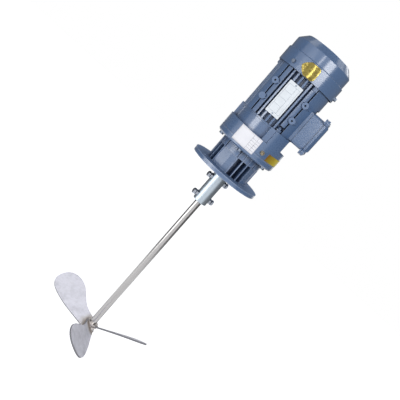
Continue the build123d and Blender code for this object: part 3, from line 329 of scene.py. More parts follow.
def steelMaterial(name, colour, roughness, cloudScale=25.0, cloudDark=0.88):
    material, tree, shader = newMaterial(name)
    lines = placeGroup(tree, latheLines, {"Line Scale": steelSet["lineScale"]})
    marks = placeGroup(tree, speckle, {"Broad Scale": cloudScale, "Fine Scale": steelSet["grainScale"]})
    tint = mixColour(tree, marks.outputs["Broad"], darkened(colour, cloudDark), linear(colour))
    tree.links.new(tint, shader.inputs["Base Color"])
    rough = mapRange(tree, marks.outputs["Fine"], steelSet["grainFrom"], steelSet["grainTo"],
                     roughness, roughness + steelSet["grainRoughness"])
    tree.links.new(rough, shader.inputs["Roughness"])
    addBump(tree, shader, steelSet["lineStrength"], steelSet["lineDepth"], lines.outputs[0])
    shader.inputs["Metallic"].default_value = 1.0
    return material


# Propeller sheet: pale mill finish in uneven patches, straw and brown where the weld heated it
bladeSet = {
    "pale": "e2e2eb",
    "dull": "ccccd5",
    "patchScale": 38.0,
    "spotScale": 150.0,
    "patchShare": 0.6,  # how much the patches count in the mask, and the spots next
    "spotShare": 0.4,
    "dullBelow": 0.36,
    "paleAbove": 0.58,
    "straw": "c9c5bb",
    "brown": "a0968f",
    "heatFrom": 0.017,  # distance from the shaft's axis
    "heatTo": 0.034,
    "heatRagged": 0.02,  # how far the heated zone's edge wanders
    "sheared": "84848a",  # cut edges of the sheet, rough and dull, darker grey also as painted shade
    "shearedRoughness": 0.8,
    "shearedMetal": 0.25,
    "wallBelow": 0.72,  # upward share of a normal, under which a face belongs to the cut edge
    "wallBlend": 0.08,
    "metal": 0.75,
    "roughness": 0.62,
    "smoother": 0.08,
    "rougher": 0.12,
    "spotFrom": 0.3,
    "spotTo": 0.7,
    "bumpStrength": 0.25,
    "bumpDepth": 0.0006,
}


def bladeMaterial(name):
    material, tree, shader = newMaterial(name)
    patches = placeGroup(tree, speckle, {"Broad Scale": bladeSet["patchScale"]})
    spots = placeGroup(tree, speckle, {"Broad Scale": bladeSet["spotScale"]})
    broad = mathNode(tree, "MULTIPLY", patches.outputs["Broad"], bladeSet["patchShare"])
    small = mathNode(tree, "MULTIPLY", spots.outputs["Broad"], bladeSet["spotShare"])
    share = mapRange(tree, mathNode(tree, "ADD", broad, small), bladeSet["dullBelow"], bladeSet["paleAbove"])
    sheet = mixColour(tree, share, linear(bladeSet["dull"]), linear(bladeSet["pale"]))
    place = tree.nodes.new("ShaderNodeTexCoord")
    split = addNode(tree, "ShaderNodeSeparateXYZ", None, {0: place.outputs["Object"]})
    acrossSquared = mathNode(tree, "MULTIPLY", split.outputs["X"], split.outputs["X"])
    alongSquared = mathNode(tree, "MULTIPLY", split.outputs["Y"], split.outputs["Y"])
    radius = mathNode(tree, "SQRT", mathNode(tree, "ADD", acrossSquared, alongSquared))
    wander = mathNode(tree, "MULTIPLY", patches.outputs["Broad"], bladeSet["heatRagged"])
    halfRagged = bladeSet["heatRagged"] / 2
    cool = mapRange(tree, mathNode(tree, "ADD", radius, wander),
                    bladeSet["heatFrom"] + halfRagged, bladeSet["heatTo"] + halfRagged)
    heat = mixColour(tree, cool, linear(bladeSet["brown"]), linear(bladeSet["straw"]))
    colour = mixColour(tree, cool, heat, sheet)
    # upright faces, the sheet's cut edges, turn darker grey: rough cut metal and painted shade
    upward = mathNode(tree, "ABSOLUTE", upwardShare(tree))
    wall = mapRange(tree, upward, bladeSet["wallBelow"], bladeSet["wallBelow"] - bladeSet["wallBlend"])
    cutAndShaded = mixColour(tree, wall, colour, linear(bladeSet["sheared"]))
    tree.links.new(cutAndShaded, shader.inputs["Base Color"])
    rough = mapRange(tree, spots.outputs["Broad"], bladeSet["spotFrom"], bladeSet["spotTo"],
                     bladeSet["roughness"] - bladeSet["smoother"],
                     bladeSet["roughness"] + bladeSet["rougher"])
    dull = mathNode(tree, "MULTIPLY", wall, bladeSet["shearedRoughness"])
    tree.links.new(mathNode(tree, "MAXIMUM", rough, dull), shader.inputs["Roughness"])
    metal = mapRange(tree, wall, toMin=bladeSet["metal"], toMax=bladeSet["shearedMetal"])
    tree.links.new(metal, shader.inputs["Metallic"])
    addBump(tree, shader, bladeSet["bumpStrength"], bladeSet["bumpDepth"], patches.outputs["Broad"])
    return material


# Everything else: one colour with faint clouds and a fine grain
plainSet = {
    "cloudScale": 30.0,
    "cloudDark": 0.85,
    "grainDepth": 0.0002,
}


def plainMaterial(name, colour, roughness, metallic=0.0, grainScale=500.0, grain=0.15):
    material, tree, shader = newMaterial(name)
    marks = placeGroup(tree, speckle, {"Broad Scale": plainSet["cloudScale"], "Fine Scale": grainScale})
    tint = mixColour(tree, marks.outputs["Broad"], darkened(colour, plainSet["cloudDark"]), linear(colour))
    tree.links.new(tint, shader.inputs["Base Color"])
    shader.inputs["Roughness"].default_value = roughness
    shader.inputs["Metallic"].default_value = metallic
    addBump(tree, shader, grain, plainSet["grainDepth"], marks.outputs["Fine"])
    return material


castPaint = paintMaterial("castPaint", grain=0.3, roughness=0.27, edgeRadius=0.0014, wearAndHighlightRadius=0.0014)
# the neck's ribs and rims get a wide band of the lighter edge colour: wear and painted highlight
neckPaint = paintMaterial("neckPaint", grain=0.3, roughness=0.27, edgeRadius=0.0014, wearAndHighlightRadius=0.0055,
                          wearAndHighlightShare=1.0)
sheetPaint = paintMaterial("sheetPaint", grain=0.1, roughness=0.22, edgeRadius=0.0008, wearAndHighlightRadius=0.0008,
                           settled=0.4)
polishedSteel = steelMaterial("polishedSteel", "b9b7b6", roughness=0.16)
hubSteel = steelMaterial("hubSteel", "d2ccc9", roughness=0.3, cloudScale=60.0, cloudDark=0.75)
couplingSteel = steelMaterial("couplingSteel", "b4bfc9", roughness=0.34)
boltSteel = steelMaterial("boltSteel", "aeb4bf", roughness=0.26)
screwZinc = steelMaterial("screwZinc", "7c8696", roughness=0.36)
bladeSteel = bladeMaterial("bladeSteel")
weldSteel = plainMaterial("weldSteel", "a39b95", roughness=0.4, metallic=1.0, grainScale=220.0, grain=0.9)
plateMetal = plainMaterial("plateMetal", "ebf1f7", roughness=0.38, grainScale=700.0, grain=0.05)
brass = plainMaterial("brass", "9b9280", roughness=0.24, metallic=1.0)
blackPlastic = plainMaterial("blackPlastic", "24272c", roughness=0.5)
boardPlastic = plainMaterial("boardPlastic", "7d4a28", roughness=0.5)
rubber = plainMaterial("rubber", "1c1d20", roughness=0.7)
copper = plainMaterial("copper", "a85f36", roughness=0.35, metallic=1.0)
groundSteel = plainMaterial("groundSteel", "c2c4c8", roughness=0.2, metallic=1.0)
gearSteel = plainMaterial("gearSteel", "8f9299", roughness=0.32, metallic=1.0)

slotMaterials = {
    "housing_paint": neckPaint,
    "bracket_paint": castPaint,
    "frame_paint": castPaint,
    "cover_paint": sheetPaint,
    "box_paint": castPaint,
    "plate_metal": plateMetal,
    "rivet_metal": screwZinc,
    "screw_steel": screwZinc,
    "bolt_steel": boltSteel,
    "coupling_steel": couplingSteel,
    "shaft_steel": polishedSteel,
    "hub_steel": hubSteel,
    "weld_steel": weldSteel,
    "blade_steel": bladeSteel,
    "plug_brass": brass,
    "stud_brass": brass,
    "gland_plastic": blackPlastic,
    "board_plastic": boardPlastic,
    "fan_plastic": blackPlastic,
    "gasket_rubber": rubber,
    "ring_steel": groundSteel,
    "gear_steel": gearSteel,
    "rotor_steel": gearSteel,
    "stator_steel": gearSteel,
    "winding_copper": copper,
}
nodeSlots = {part["node"]: part["material_slot"] for part in frame["record"]["subparts"]}
# these were sprayed together with the castings
paintedOver = ("case_gasket", "terminal_box_gaskets", "bracket_nuts", "bracket_studs")
for nodeName, node in nodes.items():
    material = castPaint if nodeName in paintedOver else slotMaterials[nodeSlots[nodeName]]
    for slotIndex in range(max(1, len(node.material_slots))):
        if slotIndex < len(node.material_slots):
            node.material_slots[slotIndex].material = material
        else:
            node.data.materials.append(material)
print("materials assigned")


# New pieces: grids of points worked out as whole arrays
def gridPiece(name, points, material, closed=False):
    # points (rows, columns, 3) become a mesh of quads; closed joins the last column to the first
    rows, columns = points.shape[:2]
    index = np.arange(rows * columns).reshape(rows, columns)
    if closed:
        index = np.concatenate([index, index[:, :1]], axis=1)
    quads = np.stack([index[:-1, :-1], index[:-1, 1:], index[1:, 1:], index[1:, :-1]], axis=-1)
    quads = quads.reshape(-1, 4)
    mesh = bpy.data.meshes.new(name)
    mesh.from_pydata(points.reshape(-1, 3).tolist(), [], quads.tolist())
    if not closed:
        across, up = np.meshgrid(np.linspace(0, 1, columns), np.linspace(0, 1, rows))
        corners = np.stack([across, up], axis=-1).reshape(-1, 2)[quads.reshape(-1)]
        mesh.uv_layers.new(name="sheet").data.foreach_set("uv", corners.reshape(-1).astype(np.float32))
    mesh.materials.append(material)
    piece = bpy.data.objects.new(name, mesh)
    bpy.context.scene.collection.objects.link(piece)
    return piece


def aroundShaft(radius, angles, heights):
    # points at a radius, at angles in degrees from the front and at heights, all arrays of one shape
    turn = np.radians(angles)
    return np.stack([radius * np.sin(turn), -radius * np.cos(turn), heights], axis=-1)


def thickSheet(piece, thickness, body="housing"):
    wall = piece.modifiers.new("thickness", "SOLIDIFY")
    wall.thickness = thickness
    wall.offset = -1
    for face in piece.data.polygons:
        face.use_smooth = True
    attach(piece, body)
    return piece


# Stickers and plates. They carry no print: only blank boxes and rules
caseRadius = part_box("motor_bracket")[1][1]  # the gear case is the bracket's widest part at the back
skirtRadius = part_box("fan_cover")[1][1]
sheetSet = {
    "rows": 9,  # of points, over a bent sheet's height
    "creaseDepth": 0.0006,
    "fadeCloudScale": 70.0,
    "fadeRagged": 0.2,  # how far a fade's edge wanders, as a share of the width
    "fadeCrease": 0.15,
    "fadeCreaseDepth": 0.0005,
}


def sheetMaterial(name, colour, dark, roughness, metallic=0.0, creaseScale=60.0, crease=0.12):
    # printed or plain sheet: slight clouds and soft creases along its own surface
    material, tree, shader = newMaterial(name)
    marks = placeGroup(tree, speckle, {"Broad Scale": creaseScale})
    tint = mixColour(tree, marks.outputs["Broad"], linear(dark), linear(colour))
    tree.links.new(tint, shader.inputs["Base Color"])
    shader.inputs["Roughness"].default_value = roughness
    shader.inputs["Metallic"].default_value = metallic
    addBump(tree, shader, crease, sheetSet["creaseDepth"], marks.outputs["Broad"])
    return material


def fadeMaterial(name, first, second, start, stop, roughness):
    # colour that runs from first to second along the sheet's own width
    material, tree, shader = newMaterial(name)
    place = addNode(tree, "ShaderNodeUVMap", {"uv_map": "sheet"})
    split = addNode(tree, "ShaderNodeSeparateXYZ", None, {0: place.outputs["UV"]})
    marks = placeGroup(tree, speckle, {"Broad Scale": sheetSet["fadeCloudScale"]})
    wander = mathNode(tree, "MULTIPLY", marks.outputs["Broad"], sheetSet["fadeRagged"])
    share = mapRange(tree, mathNode(tree, "ADD", split.outputs["X"], wander), start, stop)
    tree.links.new(mixColour(tree, share, linear(first), linear(second)), shader.inputs["Base Color"])
    shader.inputs["Roughness"].default_value = roughness
    addBump(tree, shader, sheetSet["fadeCrease"], sheetSet["fadeCreaseDepth"], marks.outputs["Broad"])
    return material


labelPaper = sheetMaterial("labelPaper", "f4f4f8", "e6e6ee", roughness=0.45, crease=0.05)
labelInk = plainMaterial("labelInk", "5c6170", roughness=0.6, grain=0.0)
goldFoil = sheetMaterial("goldFoil", "b8a75e", "42381a", roughness=0.12, metallic=1.0, creaseScale=150.0,
                         crease=0.35)
yellowFilm = fadeMaterial("yellowFilm", "76500c", "c8b42c", start=0.1, stop=0.6, roughness=0.35)
plateInk = plainMaterial("plateInk", "b4bdc8", roughness=0.5, grain=0.0)


def wrapped(name, turnLow, turnHigh, low, high, radius, material, steps=41):
    # a rectangle bent round the shaft's axis: angle across, height up
    levels = np.linspace(low, high, sheetSet["rows"])
    angles, heights = np.meshgrid(np.linspace(turnLow, turnHigh, steps), levels)
    return gridPiece(name, aroundShaft(radius, angles, heights), material)


def joinPieces(name, parts):
    # several meshes become one piece
    work = bmesh.new()
    for part in parts:
        work.from_mesh(part.data)
    mesh = bpy.data.meshes.new(name)
    work.to_mesh(mesh)
    work.free()
    for material in parts[0].data.materials:
        mesh.materials.append(material)
    for part in parts:
        bpy.data.objects.remove(part)
    piece = bpy.data.objects.new(name, mesh)
    bpy.context.scene.collection.objects.link(piece)
    return piece


ringLabelSet = {
    "turn": -2.4,  # middle, in degrees from the front
    "angle": 43.6,
    "low": 0.0822,
    "high": 0.1222,
    "lift": 0.0003,
    "thickness": 0.0002,
    "ruleWidth": 0.0004,
    "ruleProud": 0.0001,
    "ruleThickness": 0.00008,
    "ruleInset": 0.002,  # from the label's lower and upper edge
    "ruleInsetTurn": 1.5,  # from its right edge, in degrees
    "ruleTurns": (5.9, 14.5),  # upright rules, from the label's middle
    "ruleHeights": (0.0885, 0.0945, 0.1005, 0.1065, 0.1125),  # level rules right of the first upright one
}


def makeRingLabel(settings):
    half = settings["angle"] / 2
    middle = settings["turn"]
    sheet = wrapped("caseLabel", middle - half, middle + half, settings["low"], settings["high"],
                    caseRadius + settings["lift"], labelPaper)
    thickSheet(sheet, settings["thickness"])
    radius = caseRadius + settings["lift"] + settings["ruleProud"]
    wide = math.degrees(settings["ruleWidth"] / radius) / 2
    low, high = settings["low"] + settings["ruleInset"], settings["high"] - settings["ruleInset"]
    first, last = middle + settings["ruleTurns"][0], middle + half - settings["ruleInsetTurn"]
    rules = []
    for turn in settings["ruleTurns"]:
        rules.append(wrapped("rule", middle + turn - wide, middle + turn + wide, low, high,
                             radius, labelInk, steps=3))
    for height in settings["ruleHeights"]:
        rules.append(wrapped("rule", first, last, height, height + settings["ruleWidth"],
                             radius, labelInk, steps=25))
    thickSheet(joinPieces("caseLabelRules", rules), settings["ruleThickness"])


sideStickerSet = {
    "turnLow": 43.5,
    "turnHigh": 97.0,
    "low": 0.0905,
    "high": 0.1090,
    "lift": 0.0003,
    "thickness": 0.0002,
}


def makeSideSticker(settings):
    sheet = wrapped("sideSticker", settings["turnLow"], settings["turnHigh"], settings["low"],
                    settings["high"], caseRadius + settings["lift"], yellowFilm)
    thickSheet(sheet, settings["thickness"])


foilSet = {
    "turn": 0.6,
    "middle": 0.3018,
    "halfWide": 0.0215,
    "halfHigh": 0.0170,
    "leastHalf": 0.0006,  # half height of the blunted left point
    "pointShare": 0.62,  # how far the left end narrows to its point
    "pointBend": 0.62,  # under 1 the edges to the point bulge outwards
    "roundShare": 0.16,
    "roundCut": 0.75,
    "lift": 0.0004,
    "thickness": 0.0002,
    "columns": 61,
    "rows": 25,
}


def makeFoilSticker(settings):
    # half height at a share u of the width: rises from the left point, full, then rounds off on the right
    u = np.linspace(0, 1, settings["columns"])
    rise = np.clip(u / (1 - settings["pointShare"]), 0, 1) ** settings["pointBend"]
    ending = np.clip((u - 1 + settings["roundShare"]) / settings["roundShare"], 0, 1)
    fall = np.sqrt(np.clip(1 - (ending * settings["roundCut"]) ** 2, 0, 1))
    half = np.maximum(settings["halfHigh"] * rise * fall, settings["leastHalf"])
    v = np.linspace(-1, 1, settings["rows"])
    angles = settings["turn"] + np.degrees((2 * u - 1) * settings["halfWide"] / skirtRadius)
    heights = settings["middle"] + v[:, None] * half[None, :]
    points = aroundShaft(skirtRadius + settings["lift"], np.broadcast_to(angles, heights.shape), heights)
    sheet = gridPiece("foilSticker", points, goldFoil)
    thickSheet(sheet, settings["thickness"])


plateRuleSet = {
    "width": 0.0005,
    "inset": 0.0035,
    "levelInset": 2.2,  # the lowest and highest rule's inset, over the one at the sides
    "proud": 0.00012,
    "thickness": 0.0001,
    "uprightShare": 0.70,  # where the inner upright rule stands between the outer two
    "levelCount": 5,
}


def makePlateRules(settings):
    # blank ruled boxes stamped in the nameplate: thin flat strips, each a grid of four points
    low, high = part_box("nameplate")
    face = low[1] - settings["proud"]
    left, right = low[0] + settings["inset"], high[0] - settings["inset"]
    levelInset = settings["levelInset"] * settings["inset"]
    bottom, top = low[2] + levelInset, high[2] - levelInset
    upright = left + (right - left) * settings["uprightShare"]
    half = settings["width"] / 2
    bars = [(x - half, x + half, bottom, top) for x in (left, upright, right)]
    for height in np.linspace(bottom, top, settings["levelCount"]):
        stop = right if height in (bottom, top) else upright
        bars.append((left, stop, height - half, height + half))
    rules = []
    for x0, x1, z0, z1 in bars:
        xs, zs = np.meshgrid([x0, x1], [z0, z1])
        rules.append(gridPiece("rule", np.stack([xs, np.full_like(xs, face), zs], axis=-1), plateInk))
    thickSheet(joinPieces("nameplateRules", rules), settings["thickness"])


makeRingLabel(ringLabelSet)
makeSideSticker(sideStickerSet)
makeFoilSticker(foilSet)
makePlateRules(plateRuleSet)
print("stickers and plate rules made")

# Fasteners: the CAD nodes' plain screws, bolts and nuts get chamfers, threads, sockets and cross recesses
columnCount = 60
columnAngles = np.arange(columnCount) * 360 / columnCount
hexagonSet = {
    "face": 0.47,  # radius of the head's flat face, over its flats
    "corner": 0.578,  # radius just past the corners, over the flats
    "slope": 0.577,  # of the cone that cuts the corners: 30 degrees
    "coneRows": 5,
    "socketCone": 1.15,  # depth of a socket's middle, over the depth of its walls
    "socketFloor": 0.98,
}
threadSet = {
    "rowsPerTurn": 6,
    "depth": 0.54,  # over the pitch
    "tipLong": 0.4,  # this and the next: chamfered tip, over the thread's radius
    "tipRadii": (0.85, 0.5),
}
panSet = {
    "crown": 0.92,  # radius of the domed face, over the head's
    "crownDrop": 0.22,  # over the head's height
    "rimDrop": 0.25,
    "crownRows": 22,
    "rimRows": 5,
    "armWide": 0.3,  # width of the recess's arms, over their length
    "armDeep": 0.45,  # over the head's height
    "armSide": 0.3,  # how soft the recess's walls are, over its width
    "armEnd": 0.4,
}


def solidsOf(nodeName):
    # the corner points of each solid in a node: triangles that share a corner pass on their lowest label
    mesh = nodes[nodeName].data
    mesh.calc_loop_triangles()
    points = np.empty(len(mesh.vertices) * 3)
    mesh.vertices.foreach_get("co", points)
    triangles = np.empty(len(mesh.loop_triangles) * 3, dtype=np.int32)
    mesh.loop_triangles.foreach_get("vertices", triangles)
    corners, place = np.unique(np.round(points.reshape(-1, 3), 6), axis=0, return_inverse=True)
    triangles = place.reshape(-1)[triangles].reshape(-1, 3)
    labels = np.arange(len(corners))
    while True:
        spread = labels.copy()
        np.minimum.at(spread, triangles, labels[triangles].min(axis=1)[:, None])
        if np.array_equal(spread, labels):
            return [corners[labels == label] for label in np.unique(labels)]
        labels = spread


def hexagonRadius(flats):
    # distance from the axis to a hexagon's side, with a corner at angle 0
    return flats / 2 / np.cos(np.radians(columnAngles % 60 - 30))


def hexagonHead(flats, high):
    # rows of (height, radius) from the head's face down: a cone cuts the six corners
    face, slope = flats * hexagonSet["face"], hexagonSet["slope"]
    coneDepth = flats * (hexagonSet["corner"] - hexagonSet["face"]) * slope
    rows = [(0.0, face)]
    for depth in np.linspace(0.0, coneDepth, hexagonSet["coneRows"])[1:]:
        rows.append((-depth, np.minimum(hexagonRadius(flats), face + depth / slope)))
    return rows + [(-high, hexagonRadius(flats))]


def socketRows(flats, deep):
    # a hexagon socket with its floor, from its middle outwards
    return [(-deep * hexagonSet["socketCone"], 0.0),
            (-deep, hexagonRadius(flats) * hexagonSet["socketFloor"]),
            (0.0, hexagonRadius(flats))]


def threadRows(radius, pitch, start, stop):
    # a ridge that climbs one pitch a turn: radius falls off linearly to both sides of the crest
    rows = []
    for height in np.arange(start, stop, -pitch / threadSet["rowsPerTurn"]):
        phase = (height / pitch + columnAngles / 360) % 1
        rows.append((height, radius - threadSet["depth"] * pitch * np.abs(2 * phase - 1)))
    return rows


def panHead(radius, high, armLong):
    # domed round head; a cross recess is pressed into its face as a height field over (radius, angle)
    crown, armWide = panSet["crown"], armLong * panSet["armWide"]
    rows = []
    turn = np.radians(columnAngles)
    for share in np.linspace(0, 1, panSet["crownRows"]):
        reach = radius * crown * share
        across, up = np.abs(reach * np.cos(turn)), np.abs(reach * np.sin(turn))
        inArm = np.clip((armWide / 2 - np.minimum(across, up)) / (armWide * panSet["armSide"]), 0, 1)
        inLength = np.clip((armLong / 2 - np.maximum(across, up)) / (armWide * panSet["armEnd"]), 0, 1)
        recess = high * panSet["armDeep"] * inArm * inLength
        rows.append((-high * panSet["crownDrop"] * share ** 2 - recess, reach))
    for share in np.linspace(0, 1, panSet["rimRows"])[1:]:
        bend = math.radians(90 * share)
        drop = panSet["crownDrop"] + panSet["rimDrop"] * (1 - math.cos(bend))
        rows.append((-high * drop, radius * (crown + (1 - crown) * math.sin(bend))))
    return rows + [(-high, radius)]


def placeRows(name, rows, origin, outward, corner, material, ring=False):
    # rows round an axis: origin + height * axis + radius * (cos * corner + sin * side)
    if ring:
        rows = rows + rows[:1]
    heights = np.array([np.broadcast_to(height, columnCount) for height, radius in rows])
    radii = np.array([np.broadcast_to(radius, columnCount) for height, radius in rows])
    side = np.cross(outward, corner)
    turn = np.radians(columnAngles)
    points = origin + heights[..., None] * outward + radii[..., None] * (
        np.cos(turn)[:, None] * corner + np.sin(turn)[:, None] * side)
    return gridPiece(name, points, material, closed=True)


def boltRows(values, length):
    # from the middle of the head's face to the tip
    head = values["head"]
    if values["kind"] == "pan":
        rows = panHead(values["flats"] / 2, head, values["recess"])
    else:
        rows = hexagonHead(values["flats"], head)
        if "socket" in values:
            rows = socketRows(values["socket"], head * values["socketDeep"]) + rows
        else:
            rows = [(0.0, 0.0)] + rows
    low = head
    if "washer" in values:
        low += values["washerThick"]
        rim = values["washer"]
        rows += [(-head, rim * values["washerFace"]), (-head - values["washerEdge"], rim), (-low, rim)]
    radius = values["thread"]
    rows += threadRows(radius, values["pitch"], -low, -min(low + values["threadLong"], length))
    wideTip, narrowTip = threadSet["tipRadii"]
    return rows + [(-length + radius * threadSet["tipLong"], radius * wideTip),
                   (-length, radius * narrowTip), (-length, 0.0)]


def nutRows(values, high):
    # a closed ring: chamfered on both faces, with a plain bore
    top = hexagonHead(values["flats"], high / 2)
    bottom = [(-high - height, radius) for height, radius in top[:-1]][::-1]
    return [(0.0, values["thread"])] + top[:-1] + bottom + [(-high, values["thread"])]


def setScrewRows(values, length):
    # no head: a socket in a short threaded bar, chamfered at both ends
    radius = values["thread"]
    rows = socketRows(values["socket"], length * values["socketDeep"]) + [(0.0, radius * values["face"])]
    rows += threadRows(radius, values["pitch"], -values["chamfer"], -length + 2 * values["chamfer"])
    return rows + [(-length, radius * values["tip"]), (-length, 0.0)]


def studRows(values, length):
    # a chamfered end and a thread, then plain bar down to the foot
    radius = values["thread"]
    rows = [(0.0, 0.0), (0.0, radius * values["face"])]
    stop = -min(values["threadLong"], length)
    rows += threadRows(radius, values["pitch"], -values["chamfer"], stop)
    return rows + [(stop, radius * values["bar"]), (-length, radius * values["bar"]), (-length, 0.0)]


# thread and washer are radii, washerFace is a share of the washer's radius, face, tip and bar are shares of
# the thread's radius, and socketDeep is a share of the head's height, or of a set screw's length
fastenerSet = {
    "case_bolts": {"kind": "bolt", "axis": "down", "flats": 0.010, "head": 0.004, "thread": 0.003,
                   "pitch": 0.001, "threadLong": 0.003},
    "fan_cover_screws": {"kind": "bolt", "axis": "radial", "flats": 0.008, "head": 0.0035, "thread": 0.0025,
                         "pitch": 0.0008, "threadLong": 0.003, "washer": 0.0048, "washerThick": 0.0016,
                         "washerFace": 0.97, "washerEdge": 0.0002},
    "rear_shield_screws": {"kind": "bolt", "axis": "up", "flats": 0.008, "head": 0.0035, "thread": 0.0025,
                           "pitch": 0.0008, "threadLong": 0.003},
    "terminal_lid_screws": {"kind": "pan", "axis": "right", "flats": 0.008, "head": 0.0028, "thread": 0.0025,
                            "pitch": 0.0008, "threadLong": 0.002, "recess": 0.0044},
    "coupling_set_bolts": {"kind": "bolt", "axis": "radial", "flats": 0.013, "head": 0.0053, "thread": 0.004,
                           "pitch": 0.00125, "threadLong": 0.012},
    "coupling_lock_nuts": {"kind": "nut", "axis": "radial", "flats": 0.013, "thread": 0.0042},
    "oil_plug": {"kind": "bolt", "axis": "radial", "flats": 0.010, "head": 0.0045, "thread": 0.004,
                 "pitch": 0.001, "threadLong": 0.002, "socket": 0.005, "socketDeep": 0.6},
    "bracket_nuts": {"kind": "nut", "axis": "up", "flats": 0.008, "thread": 0.0027},
    "bracket_studs": {"kind": "stud", "axis": "up", "thread": 0.0025, "pitch": 0.0008, "threadLong": 0.006,
                      "face": 0.75, "chamfer": 0.0004, "bar": 0.9},
    "hub_set_screw": {"kind": "setScrew", "axis": "radial", "thread": 0.003, "pitch": 0.001, "socket": 0.003,
                      "socketDeep": 0.4, "face": 0.8, "chamfer": 0.0003, "tip": 0.7},
}
fixedAxes = {"up": (0, 0, 1), "down": (0, 0, -1), "right": (1, 0, 0)}
rowMakers = {"bolt": boltRows, "pan": boltRows, "nut": nutRows, "setScrew": setScrewRows, "stud": studRows}
faceDepth = 0.00005  # points this near a solid's outer end belong to its face
weldDistance = 1e-7
sharpAngle = math.radians(25)


def makeFasteners(nodeName, values):
    parts = []
    for points in solidsOf(nodeName):
        if values["axis"] == "radial":
            middle = points.mean(axis=0) * (1, 1, 0)
            outward = middle / np.linalg.norm(middle)
        else:
            outward = np.array(fixedAxes[values["axis"]], dtype=float)
        along = points @ outward
        face = points[along > along.max() - faceDepth]
        origin = face.mean(axis=0)
        lean = face - origin
        corner = lean[np.argmax(np.linalg.norm(lean, axis=1))]
        corner = corner / np.linalg.norm(corner)
        rows = rowMakers[values["kind"]](values, along.max() - along.min())
        material = nodes[nodeName].material_slots[0].material
        ring = values["kind"] == "nut"
        parts.append(placeRows("fastener", rows, origin, outward, corner, material, ring))
    words = nodeName.split("_")
    piece = joinPieces(words[0] + "".join(word.capitalize() for word in words[1:]), parts)
    work = bmesh.new()
    work.from_mesh(piece.data)
    bmesh.ops.remove_doubles(work, verts=work.verts, dist=weldDistance)
    bmesh.ops.recalc_face_normals(work, faces=work.faces)
    work.to_mesh(piece.data)
    work.free()
    piece.data.polygons.foreach_set("use_smooth", np.ones(len(piece.data.polygons), dtype=bool))
    piece.data.set_sharp_from_angle(angle=sharpAngle)
    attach(piece, body_of(nodes[nodeName])[0])
    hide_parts(nodeName)


for nodeName, values in fastenerSet.items():
    makeFasteners(nodeName, values)
print("fasteners made:", len(fastenerSet), "sets")

# Floor and world. Camera, glossy and transmission rays see a white studio, other rays its plain light
stageSet = {
    "floorHeight": -2.2,  # low, so that a view from below still sees the part
    "floorSize": 30.0,
    "floorColour": (0.86, 0.87, 0.88, 1.0),
    "floorRoughness": 0.9,
    "floorGlow": 0.78,
    "background": (1.0, 1.0, 1.0, 1.0),
    "ambient": (0.94, 0.96, 1.0, 1.0),
    "ambientStrength": 0.36,
}


def seenRays(tree):
    rays = tree.nodes.new("ShaderNodeLightPath")
    shown = mathNode(tree, "MAXIMUM", rays.outputs["Is Camera Ray"], rays.outputs["Is Transmission Ray"])
    return mathNode(tree, "MAXIMUM", shown, rays.outputs["Is Glossy Ray"])


def makeFloor(settings):
    half = settings["floorSize"] / 2
    z = settings["floorHeight"]
    corners = [(-half, -half, z), (half, -half, z), (half, half, z), (-half, half, z)]
    mesh = bpy.data.meshes.new("studioFloor")
    mesh.from_pydata(corners, [], [(0, 1, 2, 3)])
    floor = bpy.data.objects.new("studioFloor", mesh)
    bpy.context.scene.collection.objects.link(floor)
    material, tree, shader = newMaterial("studioFloor")
    shader.inputs["Base Color"].default_value = settings["floorColour"]
    shader.inputs["Roughness"].default_value = settings["floorRoughness"]
    glow = mathNode(tree, "MULTIPLY", seenRays(tree), settings["floorGlow"])
    shader.inputs["Emission Color"].default_value = settings["background"]
    tree.links.new(glow, shader.inputs["Emission Strength"])
    mesh.materials.append(material)


def makeWorld(settings):
    world = bpy.data.worlds.new("studioWorld")
    bpy.context.scene.world = world
    world.use_nodes = True
    tree = world.node_tree
    tree.nodes.clear()
    output = tree.nodes.new("ShaderNodeOutputWorld")
    white = addNode(tree, "ShaderNodeBackground", None, {"Color": settings["background"], "Strength": 1.0})
    soft = addNode(tree, "ShaderNodeBackground", None,
                   {"Color": settings["ambient"], "Strength": settings["ambientStrength"]})
    mix = tree.nodes.new("ShaderNodeMixShader")
    tree.links.new(seenRays(tree), mix.inputs[0])
    tree.links.new(soft.outputs[0], mix.inputs[1])
    tree.links.new(white.outputs[0], mix.inputs[2])
    tree.links.new(mix.outputs[0], output.inputs["Surface"])


# Soft boxes round the object. A row: azimuth and elevation from the aim, distance, width, height, brightness
lampAim = Vector((0, 0, 0.05))
lampPower = 4  # watts for a square metre of lamp at brightness 1
lampSet = {
    "leftBox": (-33, 3.0, 2.2, 1.0, 0.46, 4.9),
    "leftLowBox": (-33, -10.3, 2.2, 1.0, 0.45, 1.1),
    "rightBox": (39, 19.5, 2.33, 1.18, 0.85, 5.5),
    "frontStrip": (4, 16, 2.4, 0.25, 1.0, 4.0),
    "couplingBox": (-50, -15, 2.25, 1.45, 0.7, 1.8),
    "topBox": (180, 62, 2.4, 1.6, 1.4, 1.2),
    "backBox": (178, 44, 2.6, 1.6, 1.4, 1.5),
}


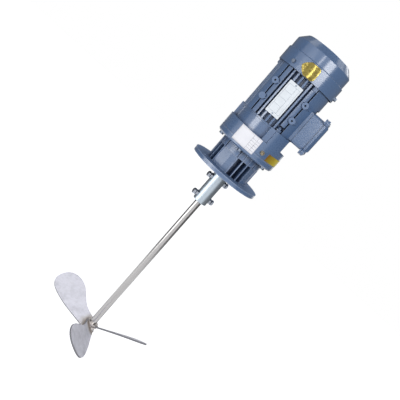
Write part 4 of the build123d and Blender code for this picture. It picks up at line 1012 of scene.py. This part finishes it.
def makeLamp(name, azimuth, elevation, distance, width, height, brightness):
    data = bpy.data.lights.new(name, "AREA")
    data.shape = "RECTANGLE"
    data.size = width
    data.size_y = height
    data.energy = lampPower * width * height * brightness
    lamp = bpy.data.objects.new(name, data)
    back = outwardVector(azimuth, elevation)
    lamp.location = lampAim + back * distance
    lamp.rotation_euler = (-back).to_track_quat("-Z", "Y").to_euler()
    bpy.context.scene.collection.objects.link(lamp)


# Dark cards seen only in reflections: round metal keeps darker flanks, and flat metal isn't blank white.
# An upright card's row: radius, first and last angle from the front, lower and upper edge, brightness
cardSet = {
    "sideCards": ((2.8, 58, 150, -1.2, 3.4, 0.16), (2.8, -150, -74, -1.2, 3.4, 0.16)),
    "backCards": ((1.8, 152, 205, -1.2, -0.25, 0.2), (2.6, 132, 228, 0.05, 1.95, 0.12)),
    "roofRadius": 0.95,
    "roofHole": 0.01,
    "roofHeight": 2.4,
    "roofLevel": 0.14,
    "uprightSteps": 13,
    "roofSteps": 25,
}


def makeCard(name, points, level):
    material, tree, shader = newMaterial(name)
    shader.inputs["Base Color"].default_value = (0.0, 0.0, 0.0, 1.0)
    shader.inputs["Emission Color"].default_value = (1.0, 1.0, 1.0, 1.0)
    shader.inputs["Emission Strength"].default_value = level
    card = gridPiece(name, points, material)
    card.visible_camera = False
    card.visible_diffuse = False
    card.visible_transmission = False
    card.visible_volume_scatter = False
    card.visible_shadow = False


def makeCards(settings):
    # upright cards are strips of a cylinder round the object, the roof is a flat ring nearly closed inside
    upright = settings["sideCards"] + settings["backCards"]
    for index, (radius, start, stop, low, high, level) in enumerate(upright):
        turns = np.linspace(start, stop, settings["uprightSteps"])
        angles, heights = np.meshgrid(turns, np.array([low, high]))
        makeCard("uprightCard_%d" % index, aroundShaft(radius, angles, heights), level)
    edges = np.array([settings["roofHole"], settings["roofRadius"]])
    angles, radii = np.meshgrid(np.linspace(0, 360, settings["roofSteps"]), edges)
    roof = aroundShaft(radii, angles, np.full_like(radii, settings["roofHeight"]))
    makeCard("roofCard", roof, settings["roofLevel"])


makeFloor(stageSet)
makeWorld(stageSet)
makeCards(cardSet)
for lampName, values in lampSet.items():
    makeLamp(lampName, *values)
print("stage and lamps placed")
